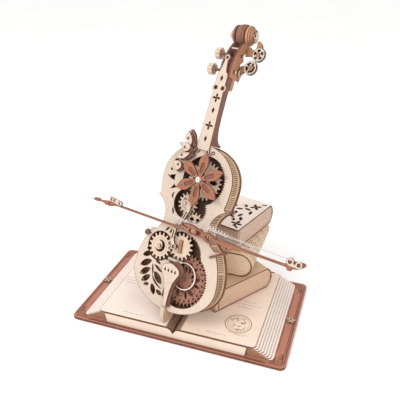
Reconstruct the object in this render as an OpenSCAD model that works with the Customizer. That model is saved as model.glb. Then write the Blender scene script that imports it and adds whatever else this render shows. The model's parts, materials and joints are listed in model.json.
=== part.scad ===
// Mechanical plywood model: a cello leaning on closed books that stand on an open book.
// Origin: middle of the underside of the open book's cover board. X right, Y back, Z up, millimetres.
// The cello is drawn upright in its own frame (X right, Y into the body, Z up along the body)
// and in_cello() leans it into place.

/* [Open book] */
// Width of the cover board, left to right
board_w = 240; // [200:1:280]
// Depth of the cover board, front to back
board_d = 145; // [140:1:180]
// Thickness of the cover board
board_t = 3; // [2:0.5:5]
// Thickness of each stepped page sheet
sheet_t = 1.5; // [1:0.1:1.5]
// How far each page sheet is narrower than the one below
sheet_step = 2.7; // [1:0.1:3]
// Distance from the middle to a cover stud
stud_x = 113; // [110:0.5:114]

/* [Closed books] */
// Thickness of the lowest closed book
low_h = 26.5; // [20:0.5:26.5]
// Thickness of the round-backed middle book
mid_h = 30; // [24:0.5:30]
// Thickness of the top book
top_h = 24; // [16:0.5:26]
// Thickness of a book cover
cover_t = 1.5; // [1:0.1:2]

/* [Cello] */
// Half width of the lower bout
lower_r = 53.5; // [52:0.5:56]
// Half width of the upper bout
upper_r = 43; // [42:0.5:46]
// Thickness of one plywood sheet
ply = 2; // [1.8:0.05:2]
// Depth of the body, front face to back face
body_d = 20.4; // [20:0.1:22]
// Radius of the flower
flower_r = 29; // [20:0.5:29]
// Length of the bow left of its pivot
bow_left = 146; // [120:1:150]
// Length of the bow right of its pivot
bow_right = 119; // [90:1:124]

/* [Gear train] */
// Module of the driven train
gear_m = 1.5; // [1.5:0.1:1.5]
// Module of the two equal front gears
front_m = 1.7; // [1.7:0.1:1.7]
// Share of the tooth pitch that a tooth fills at the pitch circle
tooth_fill = 0.43; // [0.38:0.01:0.45]
// Radius of the gear arbors
arbor_r = 1.5; // [1.2:0.05:1.6]

/* [Hidden] */
eps = 0.02;
bearing = 0.06;
pale = "#ecd3b4";
page_c = "#f2dccb";
red_brown = "#b87456";
mauve = "#8c6052";
tan_c = "#c99a6b";
dark = "#4a3026";
steel = "#b9b9bb";

// Cello pose: place of the body's origin on the open book, then yaw, lean and roll
cello_at = [-14, -61, 19];
cello_yaw = -17;
cello_lean = 26.5;
cello_roll = -2;

page_top = board_t + 8 * sheet_t;
sheet_half = 107;
page_depth = 66;
gutter_half = 8;
slot_w = 0.6;
rib_slot_w = 0.9;

module in_cello()
    translate(cello_at) rotate([0, 0, cello_yaw]) rotate([-cello_lean, 0, 0])
        rotate([0, cello_roll, 0]) children();

// The neck, pegbox and scroll are turned a little to the right about the neck's foot
neck_turn = 1.8;
module in_neck() in_cello() translate([0, 0, 190]) rotate([0, neck_turn, 0]) translate([0, 0, -190]) children();

// A flat plate drawn in X and Z, from depth y to y + t
module plate(y, t) translate([0, y + t, 0]) rotate([90, 0, 0]) linear_extrude(t) children();

// A flat plate drawn in Y and Z, from x to x + t
module side_plate(x, t) translate([x, 0, 0]) rotate([90, 0, 90]) linear_extrude(t) children();

// A round bar along Y
module bar_y(x, z, r, y0, y1) translate([x, y1, z]) rotate([90, 0, 0]) cylinder(r = r, h = y1 - y0, $fn = 32);

// A round bar along X
module bar_x(y, z, r, x0, x1) translate([x0, y, z]) rotate([0, 90, 0]) cylinder(r = r, h = x1 - x0, $fn = 32);

module disc(x, z, r) translate([x, z]) circle(r = r, $fn = 48);

function arc(cx, cz, rx, rz, a0, a1, n) =
    [for (i = [0:n]) let(a = a0 + (a1 - a0) * i / n) [cx + rx * cos(a), cz + rz * sin(a)]];

function polar(p, r, a) = [p[0] + r * cos(a), p[1] + r * sin(a)];

function mirrored(pts) = [for (i = [len(pts) - 1:-1:0]) [-pts[i][0], pts[i][1]]];

// ---------- cello outline, drawn in by d all round ----------
lower_z = 48;
waist_z = 107;
waist_cx = 50.5;
waist_cr = 22;
upper_z = 152;
body_top = 190;
body_bottom = 10;

function half_outline(d) = concat(
    arc(0, lower_z, lower_r - d, lower_z - body_bottom - d, -90, 0, 14),
    arc(0, lower_z, lower_r - d, 62 - d, 4, 36, 6),
    d > 0 ? [] : [[48.5, 87.5]],
    arc(waist_cx, waist_z, waist_cr + d, waist_cr + d, 246, 114, 14),
    d > 0 ? [] : [[43.5, 127]],
    arc(0, upper_z, upper_r - d, 62 - d, -20, 0, 4),
    arc(0, upper_z, upper_r - d, body_top - upper_z - d, 6, 90, 14));

function full_outline(d) = let(h = half_outline(d))
    concat([for (i = [1:len(h) - 2]) h[i]], [h[len(h) - 1]],
           [for (i = [len(h) - 2:-1:1]) [-h[i][0], h[i][1]]], [h[0]]);

module outline(d) polygon(full_outline(d));

// ---------- gear train: centres in X and Z, tooth counts, and the layers they lie in ----------
n_main = 36;
n_pinion = 10;
n_front = 16;
n_crank = 16;
n_idler = 18;
n_upper = 15;
n_flower = 26;
layer_2 = 3;
layer_3 = 6;
gear_t = 2;
mount_y = 9;
arbor_end = 11.6;

function pr(n, m) = n * m / 2;

left_c = [-25.5, 73.8];
crank_a = 14;
crank_c = polar(left_c, pr(n_front, front_m) * 2, crank_a);
main_a = -73;
main_c = polar(crank_c, pr(n_main, gear_m) + pr(n_pinion, gear_m), main_a);
flower_c = [8.7, 153.5];
upper_a = 243.5;
upper_c = polar(flower_c, pr(n_flower, gear_m) + pr(n_upper, gear_m), upper_a);
d_uc = norm(crank_c - upper_c);
r_ui = pr(n_upper, gear_m) + pr(n_idler, gear_m);
r_ic = pr(n_idler, gear_m) + pr(n_crank, gear_m);
a_uc = atan2(crank_c[1] - upper_c[1], crank_c[0] - upper_c[0]);
a_ui = a_uc + acos((r_ui * r_ui + d_uc * d_uc - r_ic * r_ic) / (2 * r_ui * d_uc));
idler_c = polar(upper_c, r_ui, a_ui);
a_ci = atan2(idler_c[1] - crank_c[1], idler_c[0] - crank_c[0]);

// Phase of a gear of n2 teeth that meshes at angle a with a gear of n1 teeth and phase p1
function mesh(a, n1, p1, n2) = a + 180 + (0.5 - (p1 - a) * n1 / 360) * 360 / n2;

main_p = 4;
pinion_p = mesh(main_a + 180, n_main, main_p, n_pinion);
crank_p = 0;
left_p = mesh(crank_a + 180, n_front, 0, n_front);
idler_p = mesh(a_ci, n_crank, crank_p, n_idler);
upper_p = mesh(a_ui + 180, n_idler, idler_p, n_upper);
flower_p = mesh(upper_a + 180, n_upper, upper_p, n_flower);

function inv(a) = tan(a) - a * PI / 180;
function half_tooth(r, rb, rp, n) =
    90 * 2 * tooth_fill / n + (inv(20) - inv(acos(min(1, rb / max(r, rb))))) * 180 / PI;

// Spur gear outline with involute flanks: n teeth of module m, one tooth centred at angle p
module gear2d(n, m, p) {
    rp = pr(n, m);
    rb = rp * cos(20);
    root = rp - 1.15 * m;
    tip = rp + 0.85 * m;
    radii = [max(rb, root), rp - 0.25 * m, rp + 0.3 * m, tip];
    pts = [for (k = [0:n - 1]) let(a = p + k * 360 / n) each concat(
        [polar([0, 0], root, a - half_tooth(rb, rb, rp, n))],
        [for (r = radii) polar([0, 0], r, a - half_tooth(r, rb, rp, n))],
        [for (i = [3:-1:0]) polar([0, 0], radii[i], a + half_tooth(radii[i], rb, rp, n))],
        [polar([0, 0], root, a + half_tooth(rb, rb, rp, n))])];
    polygon(pts);
}

module at(c) translate([c[0], c[1]]) children();

// Lens-shaped leaf, l long and w wide, pointing along angle a from its middle
module leaf(x, z, l, w, a) {
    r = (l * l / 4 + w * w / 4) / w;
    translate([x, z]) rotate(a) intersection() {
        translate([0, r - w / 2]) circle(r = r, $fn = 64);
        translate([0, -r + w / 2]) circle(r = r, $fn = 64);
    }
}

// Leaf bent along a curve from a to b that leans towards c
module bent_leaf(a, c, b, w) {
    n = 12;
    pts = [for (i = [0:n]) let(t = i / n) (1 - t) * (1 - t) * a + 2 * t * (1 - t) * c + t * t * b];
    dirs = [for (i = [0:n]) let(t = i / n, d = (1 - t) * (c - a) + t * (b - c)) d / norm(d)];
    side = [for (i = [0:n]) w / 2 * sin(180 * i / n) * [-dirs[i][1], dirs[i][0]]];
    polygon(concat([for (i = [0:n]) pts[i] + side[i]], [for (i = [n - 1:-1:1]) pts[i] - side[i]]));
}

module slot2d(x, z, l, w, a) translate([x, z]) rotate(a) {
    square([l - w, w], center = true);
    for (s = [-1, 1]) translate([s * (l - w) / 2, 0]) circle(r = w / 2, $fn = 24);
}

// ---------- open book ----------
module rounded(w, d, r) {
    square([w - 2 * r, d], center = true);
    square([w, d - 2 * r], center = true);
    for (x = [-1, 1], y = [-1, 1]) translate([x * (w / 2 - r), y * (d / 2 - r)]) circle(r = r, $fn = 32);
}

module frame2d(inset, w) difference() {
    rounded(board_w - 2 * inset, board_d - 2 * inset, 4);
    rounded(board_w - 2 * inset - 2 * w, board_d - 2 * inset - 2 * w, 3.5);
}

module cover_board() color(red_brown) difference() {
    linear_extrude(board_t) rounded(board_w, board_d, 6);
    for (i = [2.2, 3.8]) translate([0, 0, board_t - 0.3]) linear_extrude(1) frame2d(i, 0.5);
}

module cover_studs() color(pale) for (s = [-1, 1]) translate([s * stud_x, 0, board_t]) {
    difference() {
        union() {
            cylinder(r = 3.6, h = 1.5, $fn = 48);
            cylinder(r = 2.7, h = 3, $fn = 48);
            for (a = [18:72:306]) rotate(a) translate([3.5, 0, 0]) cylinder(r = 1.9, h = 1.5, $fn = 24);
        }
        translate([0, 0, -1]) cylinder(r = 1.3, h = 6, $fn = 24);
    }
}

// Stack of page sheets on one side, s = -1 left or 1 right, from sheet a to sheet b
module sheets(s, a, b) for (i = [a:b]) {
    w = sheet_half - sheet_step * i - gutter_half;
    translate([s * (gutter_half + w / 2), 0, board_t + i * sheet_t]) linear_extrude(sheet_t) {
        rounded(w, 2 * page_depth, 4);
        translate([s > 0 ? -w / 2 : 0, -page_depth]) square([w / 2, 2 * page_depth]);
    }
}

module left_page_sheets() color(pale) sheets(-1, 0, 6);
module right_page_sheets() color(pale) sheets(1, 0, 6);
module left_top_page() color(page_c) sheets(-1, 7, 7);
module right_top_page() color(page_c) sheets(1, 7, 7);

gutter_z = 9;
module gutter_strips() color(dark) for (s = [0, 1]) mirror([s, 0, 0])
    translate([0, page_depth, 0]) rotate([90, 0, 0]) linear_extrude(2 * page_depth)
        polygon([[0.05, gutter_z - 1.5], [gutter_half - eps, page_top - 1.6], [gutter_half - eps, page_top - 0.2],
                 [6.6, page_top - 0.9], [6.4, page_top - 1.6], [4.9, page_top - 2.3], [4.7, page_top - 3],
                 [3.2, page_top - 3.7], [3, page_top - 4.4], [1.5, page_top - 5.1], [1.3, page_top - 5.8],
                 [0.05, gutter_z]]);

module fascia2d() polygon([[-78, board_t], [78, board_t], [80, page_top], [6, page_top], [3, page_top - 1.2],
                           [0, gutter_z], [-3, page_top - 1.2], [-6, page_top], [-80, page_top]]);
module page_fascias() color(page_c) for (y = [-page_depth - 2, page_depth]) plate(y, 2) fascia2d();

// ---------- closed books ----------
low_at = [34, -28, page_top];
low_a = 56;
low_w = 77;
low_d = 70;
mid_at = [4, 9.5, page_top + low_h];
mid_w = 47;
mid_b = 13;
mid_d = 90;
top_at = [44.6, 18.2, page_top + low_h + mid_h];
top_a = 73;
top_w = 73;
top_d = 72;

// Side view of a book: page block w wide and h high, spine bulging by b, drawn in by d
module book2d(w, h, b, d) {
    r = (h * h / 4 + b * b) / (2 * b);
    step = d > 0 ? 0.2 : 0;
    translate([d, d]) square([w - d, h - 2 * d]);
    intersection() {
        translate([w + b - r, h / 2]) circle(r = r - d, $fn = 96);
        translate([w - 0.01, d + step]) square([b + 1, h - 2 * d - 2 * step]);
    }
}

module book_cover(w, d, h, b) rotate([90, 0, 0]) mirror([0, 0, 1]) linear_extrude(d) difference() {
    book2d(w, h, b, 0);
    book2d(w, h, b, cover_t);
    translate([-1, cover_t]) square([3, h - 2 * cover_t]);
}

module book_block(w, d, h, b) translate([0, 0.8, 0]) rotate([90, 0, 0]) mirror([0, 0, 1])
    linear_extrude(d - 1.6) difference() {
        book2d(w, h, b, cover_t + eps);
        translate([-1, -1]) square([1 + 1.6, h + 2]);
    }

module in_low() translate(low_at) rotate([0, 0, low_a]) children();
module in_top() translate(top_at) rotate([0, 0, top_a]) children();
low_b = 7;
top_b = 6;

module lower_book_cover() color(tan_c) in_low() difference() {
    book_cover(low_w, low_d, low_h, low_b);
    // hinge slots of the curved spine
    for (i = [0:6], j = [0:4])
        translate([low_w - 2, 5 + j * 13, low_h / 2 + (i - 3) * 2.8]) cube([14, 9, slot_w]);
}
module lower_book_pages() color(page_c) in_low() book_block(low_w, low_d, low_h, low_b);

module middle_book_cover() color(tan_c) translate(mid_at) difference() {
    book_cover(mid_w, mid_d, mid_h, mid_b);
    // hinge slots of the round back
    for (i = [0:18], j = [0:4]) {
        a = -72 + i * 8;
        translate([mid_w + mid_b - 15.15, 4 + j * 17 + (i % 2) * 4, mid_h / 2]) rotate([0, -a, 0])
            translate([mid_h / 2 - 2.6, 0, -slot_w / 2]) cube([6, 12, slot_w]);
    }
}
module middle_book_pages() color(page_c) translate(mid_at)
    book_block(mid_w, mid_d, mid_h, mid_b);

module top_book_base() color(tan_c) in_top() cube([top_w, top_d, cover_t]);
module top_book_pages() color(page_c) in_top() book_block(top_w, top_d, top_h, top_b);
module top_book_spine() color(tan_c) in_top() difference() {
    intersection() {
        book_cover(top_w, top_d, top_h, top_b);
        translate([top_w + eps, -1, -1]) cube([20, top_d + 2, top_h + 2]);
    }
    for (i = [0:5], j = [0:4])
        translate([top_w + 1, 5 + j * 13, top_h / 2 + (i - 2.5) * 3.2]) cube([14, 9, slot_w]);
}

// Flower and leaf openings of the top book's cover
module lace2d() {
    for (p = [[12, 10, 0], [58, 12, 40], [34, 36, 20], [14, 58, 10], [60, 58, 70]]) translate([p[0], p[1]]) rotate(p[2]) {
        for (a = [0:90:270]) rotate(a) leaf(3.8, 0, 5.8, 3.1, 0);
        circle(r = 0.8, $fn = 24);
    }
    for (p = [[24, 12, 30], [31, 17, -10], [42, 10, 15], [48, 17, 80], [24, 24, 70], [44, 26, 120],
              [20, 34, 110], [50, 36, 60], [24, 46, 40], [46, 47, 150], [30, 58, 0], [44, 60, 20]])
        leaf(p[0], p[1], 8.4, 3.2, p[2]);
    for (p = [[18, 19], [54, 24], [34, 26], [12, 36], [60, 42], [36, 50]]) difference() {
        translate(p) circle(r = 2.8, $fn = 32);
        translate([p[0] - 1.3, p[1] + 1.3]) circle(r = 2.1, $fn = 32);
    }
    for (p = [[5, 6], [68, 6], [5, 66], [68, 66]]) slot2d(p[0], p[1], 5, 1.6, p[0] < 30 ? 60 : 120);
}
module top_book_lace_cover() color(page_c) in_top() translate([0, 0, top_h - cover_t])
    linear_extrude(cover_t) difference() {
        square([top_w, top_d]);
        lace2d();
    }

// Ledge between the cello's back and the top book
prop_z = 84;
prop_t = 4;
module rear_prop() color(pale) difference() {
    translate([-24, 8, prop_z]) cube([36, 40, prop_t]);
    in_cello() translate([-100, -80 + body_d, -20]) cube([200, 80, 400]);
    in_top() translate([0, -20, -40]) cube([100, 120, 90]);
}

// ---------- cello plates ----------
open_r = 25.5;
front_open_r = 15.9;

module plate_openings() {
    at(flower_c) difference() {
        circle(r = open_r, $fn = 96);
        for (i = [0:16]) rotate(48 - i * 6) leaf(open_r + 0.2, 0, 3.2, 1.9, 0);
    }
    at(upper_c) circle(r = 16, $fn = 64);
    // toothed opening beside the upper idler
    difference() {
        translate([7, 122]) circle(r = 14, $fn = 64);
        for (i = [0:9]) translate([7, 122]) rotate(56 - i * 10.5) leaf(13.8, 0, 3.6, 1.7, 0);
    }
    at(left_c) circle(r = front_open_r, $fn = 64);
    at(crank_c) circle(r = front_open_r, $fn = 64);
    // large lower opening, toothed along its upper right edge
    difference() {
        union() {
            translate([10.5, 48.8]) circle(r = 31, $fn = 96);
            translate([6, 73]) circle(r = 22, $fn = 96);
        }
        translate([-38, -20]) square([30, 82]);
        for (i = [0:9]) translate([6, 73]) rotate(12 + i * 6) leaf(22.3, 0, 3.4, 1.7, 0);
        for (i = [0:20]) translate([10.5, 48.8]) rotate(52 - i * 5) leaf(31.2, 0, 3.2, 2, 0);
    }
}

// Fern-like leaf openings of the lower left side
module fern2d() {
    for (p = [[-39.6, 67.7, 4.4, 2.6, 60], [-39.2, 61, 12.6, 5.6, 29], [-38.4, 51.2, 16.4, 6.6, 33],
              [-37.1, 42.1, 15.4, 6.4, 39], [-34, 34.9, 13.6, 6, 43], [-31.8, 28.8, 7.4, 3.2, 19],
              [-21.6, 26.3, 12, 5.8, -61], [-13, 25.3, 8.6, 4.2, -19]])
        leaf(p[0], p[1], p[2], p[3], p[4]);
    for (p = [[-23, 56.6, 9, 2.4, -21], [-20.6, 49.8, 13, 2.8, -25], [-18.6, 40, 16, 7, -40],
              [-27.6, 47, 12.6, 1.6, -74]])
        leaf(p[0], p[1], p[2], p[3], p[4]);
    bent_leaf([-26.3, 41.2], [-23.4, 33.9], [-10.5, 29.6], 1.7);
}

// Small openings of the upper left side
module upper_cuts2d() {
    polygon([[-37.3, 150.5], [-33, 150.9], [-26.9, 152.5], [-27.7, 149.6], [-26.9, 146.2], [-31, 147.2],
             [-34.6, 148.8]]);
    polygon([[-29.9, 136.4], [-27.4, 139.4], [-26, 142.8], [-25.3, 140.9], [-21.8, 140.2], [-25.5, 138.2]]);
    polygon([[-32, 168.6], [-28.1, 169.4], [-27, 167.1], [-29.8, 165.7], [-31.9, 164]]);
    leaf(-33.8, 157.2, 3.4, 1.8, -50);
    bent_leaf([-22.9, 133.8], [-26.8, 130.4], [-22.8, 127.2], 1.5);
    polygon([[-20.9, 119], [-20.9, 115], [-18.4, 110.6], [-18.2, 113.6], [-19.4, 116]]);
    for (p = [[-20.8, 94.1, 6.6, 1.8, 50], [-15.2, 93.7, 7.6, 1.8, 58]]) leaf(p[0], p[1], p[2], p[3], p[4]);
}

bow_pivot = [20, 101.5];
module front_plate() color(pale) in_cello() difference() {
    plate(0, ply) difference() {
        outline(0);
        plate_openings();
        fern2d();
        upper_cuts2d();
    }
    bar_y(idler_c[0], idler_c[1], arbor_r + bearing, -1, 4);
}

arbors = [main_c, crank_c, left_c, idler_c, upper_c, flower_c];
module movement_plate() color(dark) in_cello() difference() {
    plate(mount_y, ply) difference() {
        outline(3.2);
        translate([30, 150]) circle(r = 5, $fn = 32);
        translate([-25, 155]) circle(r = 8, $fn = 32);
        translate([-30, 45]) circle(r = 8, $fn = 32);
        for (s = [-1, 1]) translate([s * 39.4, 131]) circle(r = 2.4, $fn = 32);
    }
    for (c = arbors) bar_y(c[0], c[1], arbor_r + bearing, mount_y - 1, mount_y + 4);
}

key_c = [10, 47];
module back_plate() color(pale) in_cello() difference() {
    plate(body_d - ply, ply) outline(0);
    bar_y(key_c[0], key_c[1], 2 + bearing, body_d - 5, body_d + 2);
}

module rib2d() difference() {
    outline(1.4);
    outline(2.9);
}

// Hinge slots through a bent rib, at angles a0 to a1 round an ellipse
module rib_slots(cz, rx, rz, a0, a1, step) for (s = [-1, 1], a = [a0:step:a1])
    translate([s * rx * cos(a), 0, cz + rz * sin(a)])
        rotate([0, s > 0 ? -a : a + 180, 0])
            translate([-4, ply + 3.4, -rib_slot_w / 2]) cube([8, 9.6, rib_slot_w]);

rib_y = ply + eps;
rib_len = body_d - 2 * ply - 2 * eps;
module upper_rib() color(tan_c) in_cello() difference() {
    plate(rib_y, rib_len) intersection() {
        rib2d();
        translate([-60, 129.9]) square([120, 80]);
    }
    rib_slots(upper_z, upper_r - 2, 36, -9, 62, 3.1);
}
module lower_rib() color(tan_c) in_cello() difference() {
    plate(rib_y, rib_len) intersection() {
        rib2d();
        translate([-60, 0]) square([120, 87]);
    }
    rib_slots(lower_z, lower_r - 2, 36, -56, 25, 2.5);
}
module waist_ribs() color(tan_c) in_cello() difference() {
    plate(rib_y, rib_len) intersection() {
        rib2d();
        translate([-60, 87.1]) square([120, 42.7]);
    }
    for (s = [-1, 1], a = [140:5:220])
        translate([s * (waist_cx + (waist_cr + 2) * cos(a)), 0, waist_z + (waist_cr + 2) * sin(a)])
            rotate([0, s > 0 ? -a : a + 180, 0])
                translate([-3, ply + 3.4, -rib_slot_w / 2]) cube([6, 9.6, rib_slot_w]);
}

// Rods that pin the corners of the two plates together
module corner_rods() color(red_brown) in_cello() {
    bar_y(-41.6, 84, 1, -1.8, -eps);
    bar_y(-44.2, 84, 3, -3.6, -1.85);
    translate([38.5, -2.04, 79.4]) rotate([0, -29, 0]) cube([19.5, 2, 2]);
}

// Posts between the front plate and the movement plate
posts = [[-35.4, 161], [36, 160], [-46.8, 54.2], [46.2, 56], [-27.4, 22.4], [36, 28], [24.9, 97.2]];
module plate_posts() color(tan_c) in_cello() for (p = posts)
    bar_y(p[0], p[1], 2.2, ply + eps, mount_y - eps);

// ---------- neck, pegbox and scroll ----------
neck_foot = body_top + 0.4;
module neck_profile() polygon(concat(
    [[eps, neck_foot], [eps, 262], [7.6, 262]],
    [[7.2, 240], [7.6, 222], [8.8, 208], [11.4, 199], [15.6, 194.4], [21, 192.6], [21, neck_foot]]));
module neck_sides() color(mauve) in_neck() for (x = [-6.4, 4.4]) side_plate(x, ply) neck_profile();
module neck_core() color(mauve) in_neck() side_plate(-4.3, 8.6) polygon([[eps, neck_foot], [eps, 258],
    [6, 258], [6, 222], [7.4, 206], [11, 197], [19, neck_foot + 1.6], [19, neck_foot]]);

module diamond(z) translate([0, z]) polygon([[-1.5, 0], [0, 3.2], [1.5, 0], [0, -3.2]]);
module cross(z) translate([0, z]) for (a = [0:90:270]) rotate(a) leaf(2.5, 0, 4.2, 1.8, 0);
board_y = -ply;
module fingerboard() color(pale) in_neck() plate(board_y, ply - eps) difference() {
    union() {
        polygon([[-8, 184], [8, 184], [6.2, 242], [6.2, 262], [5.4, 265], [3.6, 266], [2.6, 270], [1.6, 279],
                 [-1.6, 279], [-3.2, 272], [-4.6, 266.4], [-6.2, 262], [-6.2, 242]]);
        translate([0.2, 281]) circle(r = 3.3, $fn = 48);
        for (s = [-1, 1]) translate([s * 4.3, 249.4]) circle(r = 3.9, $fn = 48);
        for (s = [-1, 1]) translate([s * 6.3, 183.2]) circle(r = 2.7, $fn = 48);
    }
    translate([0.2, 281]) circle(r = 1.3, $fn = 32);
    for (s = [-1, 1]) translate([s * 6.3, 183.2]) circle(r = 1, $fn = 32);
    for (s = [-1, 1]) translate([s * 4.2, 249.4]) circle(r = 1.5, $fn = 32);
    for (z = [196, 226, 259.4]) diamond(z);
    for (z = [210, 239]) cross(z);
}

// Pegbox cheeks curve back from the top of the neck to the scroll
module cheek2d() {
    polygon([[eps, 262.1], [eps, 275], [2.2, 284], [6, 292], [11, 299.4], [14, 302], [23, 304], [26, 300.6],
             [25.4, 296], [21.6, 293.6], [18.6, 290.2], [16.6, 287.3], [19.6, 285.4], [19.8, 283], [15.4, 279.4],
             [17.8, 276], [22, 271], [20, 267.4], [22.4, 266], [21.4, 262.4], [16, 263.4], [13.2, 261],
             [13.8, 255], [12.8, 250.2], [7.8, 249.4], [7.8, 262.1]]);
    translate([19, 310.5]) circle(r = 6.4, $fn = 48);
    polygon([[14, 300], [13, 308], [25, 308], [25, 301]]);
}
peg_spots = [[14, 287.6], [7.5, 269.2]];
peg_hole = 1.5;
module cheek_pair(x) difference() {
    side_plate(x, ply) cheek2d();
    for (p = peg_spots) bar_x(p[0], p[1], peg_hole + bearing, x - 1, x + ply + 1);
}
module pegbox_cheeks() color("#c08a63") in_neck() {
    for (x = [-6.4, 4.4]) cheek_pair(x);
    // spacer rod
    bar_x(8.6, 293.4, 0.9, -4.39, 4.39);
}

scroll_c = [19, 310.5];
scroll_r = [8.2, 9.6, 10.6, 11, 11, 10.4, 9.4];
module scroll_discs() color(red_brown) in_neck() {
    bar_x(scroll_c[0], scroll_c[1], 10.4, -4.3, -2.2);
    bar_x(scroll_c[0], scroll_c[1], 11, -2.1, 0);
    bar_x(scroll_c[0], scroll_c[1], 11, 0.1, 2.1);
    bar_x(scroll_c[0], scroll_c[1], 10.4, 2.2, 4.3);
    for (s = [0, 1]) mirror([s, 0, 0]) {
        bar_x(scroll_c[0], scroll_c[1], 10, 6.5, 8.4);
        bar_x(scroll_c[0], scroll_c[1], 8.2, 8.4, 10.2);
    }
}
module scroll_caps() color(pale) in_neck() {
    // long cap on the left
    difference() {
        union() {
            bar_x(scroll_c[0], scroll_c[1], 4, -14.6, -10.25);
            bar_x(scroll_c[0], scroll_c[1], 3, -16, -14.6);
        }
        bar_x(scroll_c[0], scroll_c[1], 1, -17, -13);
    }
    // drum with two tabs on the right
    difference() {
        bar_x(scroll_c[0], scroll_c[1], 6.8, 10.25, 13);
        translate([12, scroll_c[0] - 0.8, scroll_c[1] - 10]) cube([3, 1.6, 20]);
    }
    for (z = [-3.6, 1.2]) translate([13, scroll_c[0] - 4.4, scroll_c[1] + z]) cube([1.6, 3.4, 2.4]);
    // slotted discs on the cheeks
    for (s = [0, 1]) mirror([s, 0, 0]) side_plate(6.42, 1.6) translate([17.9, 270.9]) difference() {
        circle(r = 4.6, $fn = 48);
        slot2d(0, 0, 5, 1.6, 90);
    }
}

// ---------- ornaments on the front ----------
rocker_y = -2.3;
rocker_end = [-8, 100];
module bow_rocker() color(pale) in_cello() {
    difference() {
        plate(rocker_y, ply) difference() {
            union() {
                at(upper_c) circle(r = 4.2, $fn = 48);
                // swan-necked arm
                polygon([[-6.5, 129.6], [-3.4, 130.4], [0.4, 128.2], [2.8, 124.2], [2.6, 119.4], [0.9, 115.2],
                         [-1.2, 110.6], [-3.6, 105.6], [-6.4, 99.6], [-9.6, 99.6], [-9.4, 103.6], [-6.8, 107.4],
                         [-4.8, 112.8], [-2.8, 117.4], [-2.2, 120.6], [-3.4, 122.6], [-8, 123.4]]);
                at(rocker_end) circle(r = 2.8, $fn = 32);
            }
            slot2d(-2.2, 113.6, 9, 0.9, 68);
        }
        bar_y(upper_c[0], upper_c[1], arbor_r + bearing, -4, 1);
    }
    bar_y(rocker_end[0], rocker_end[1], 1.3, -6.4, rocker_y);
}

module leaf_ornament2d() {
    polygon([[-19, 200.6], [-15, 196], [-12.4, 191], [-12.8, 186.4], [-17, 188], [-21.4, 191.6], [-22, 195.6]]);
    polygon([[-27.9, 186], [-24, 187.6], [-19, 188], [-14, 186.4], [-12.4, 182.8], [-15, 179.6], [-19, 178.4],
             [-22, 180], [-23.6, 183.4]]);
    polygon([[-29.2, 171.4], [-24, 175.8], [-18, 177.8], [-11.6, 178.2], [-14, 174.4], [-17.4, 171], [-22, 169.8],
             [-26, 170.2]]);
    polygon([[-30, 166.4], [-24, 167.8], [-19.4, 165.8], [-18.4, 162], [-20.8, 158.6], [-24.4, 157],
             [-28.4, 159.4]]);
}
module leaf_dark2d() difference() {
    union() {
        translate([2, -1]) leaf_ornament2d();
        polygon([[-19, 201.6], [-16, 203], [-11.6, 199], [-8.4, 193], [-7.6, 186.4], [-11, 185], [-12.4, 191],
                 [-15, 196]]);
        polygon([[-20, 178], [-14, 179], [-10.4, 183], [-8, 181.6], [-10, 177.6], [-14, 175.2], [-19, 175.6]]);
        polygon([[-20, 171.4], [-14, 175], [-7.6, 179], [-7.2, 177], [-12, 172.4], [-18, 168.6]]);
        translate([-7.8, 183.6]) circle(r = 2, $fn = 32);
    }
    slot2d(-11.2, 192.8, 9, 0.7, -58);
    slot2d(-11.6, 178.6, 6, 0.6, 56);
}
// Short pins that hold the leaves clear of the plate
leaf_pins = [[-12.6, 186.8], [-19, 183], [-19, 173.6], [-24, 163]];
module leaf_ornament_dark() color(mauve) in_cello() {
    plate(-2 * ply, ply - eps) leaf_dark2d();
    for (p = leaf_pins) bar_y(p[0], p[1], 1.1, -ply - 0.5, -eps);
}
module leaf_ornament_pale() color(pale) in_cello() plate(-3 * ply, ply - eps) difference() {
    leaf_ornament2d();
    for (p = [[-18, 192.6], [-20, 182.8], [-21.4, 174.2], [-23, 163.6]]) translate(p) circle(r = 0.8, $fn = 24);
}

ring_c = [11, 51];
module crescent_ring() color("white") in_cello() plate(3.4, 1.6) {
    difference() {
        translate(ring_c) circle(r = 14.6, $fn = 96);
        translate([ring_c[0] - 0.4, ring_c[1]]) circle(r = 13.4, $fn = 96);
    }
    difference() {
        translate([-14, 62]) square([20, 3]);
        translate(ring_c) circle(r = 14, $fn = 96);
    }
}

// The tailpiece slopes from the lower edge of the plate up and away from it
module in_tail() translate([0, -2.2, 15]) rotate([5.3, 0, 0]) translate([0, 0, -15]) children();
function tail_half() = concat([[2.2, 15], [2.6, 24], [3.6, 33], [5.6, 42]], arc(4.2, 54.5, 7.6, 6.5, -40, 60, 8),
                              [[5, 61.4], [2, 62.6]]);
module tailpiece() color(pale) in_cello() in_tail() plate(-ply, ply) difference() {
    polygon(concat(tail_half(), mirrored(tail_half())));
    for (x = [-6.6, -2.2, 2.2, 6.6]) translate([x, 54]) {
        circle(r = 0.9, $fn = 24);
        polygon([[-0.85, 0.3], [0.85, 0.3], [0, 3]]);
    }
}
module tailpiece_underlay() color("#b98a78") in_cello() in_tail() plate(0.1, 1.6) translate([2.4, 1.4])
    polygon(concat([for (p = tail_half()) [p[0] * 1.12, 30 + (p[1] - 30) * 1.06]],
                   mirrored([for (p = tail_half()) [p[0], p[1]]])));

module end_foot() color(pale) in_cello() for (x = [-2.1, 0.1]) side_plate(x, ply)
    polygon([[-6, 14.4], [-2.3, 14.3], [-0.1, 9.6], [4, 8.6], [8.6, 8.4], [9.4, 5], [8.4, 0.2], [1.2, -3.4],
             [-1.6, -1.2], [-4.4, 5]]);

// ---------- wind-up musical movement inside the body ----------
module music_movement() color(steel) in_cello() {
    difference() {
        plate(ply + mount_y + 0.1, 7.1) translate([key_c[0], key_c[1]]) rounded(48, 30, 3);
        bar_y(key_c[0], key_c[1], 2 + bearing, 14, 30);
        bar_y(main_c[0], main_c[1], arbor_r + 0.4, 8, 14);
    }
}

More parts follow.
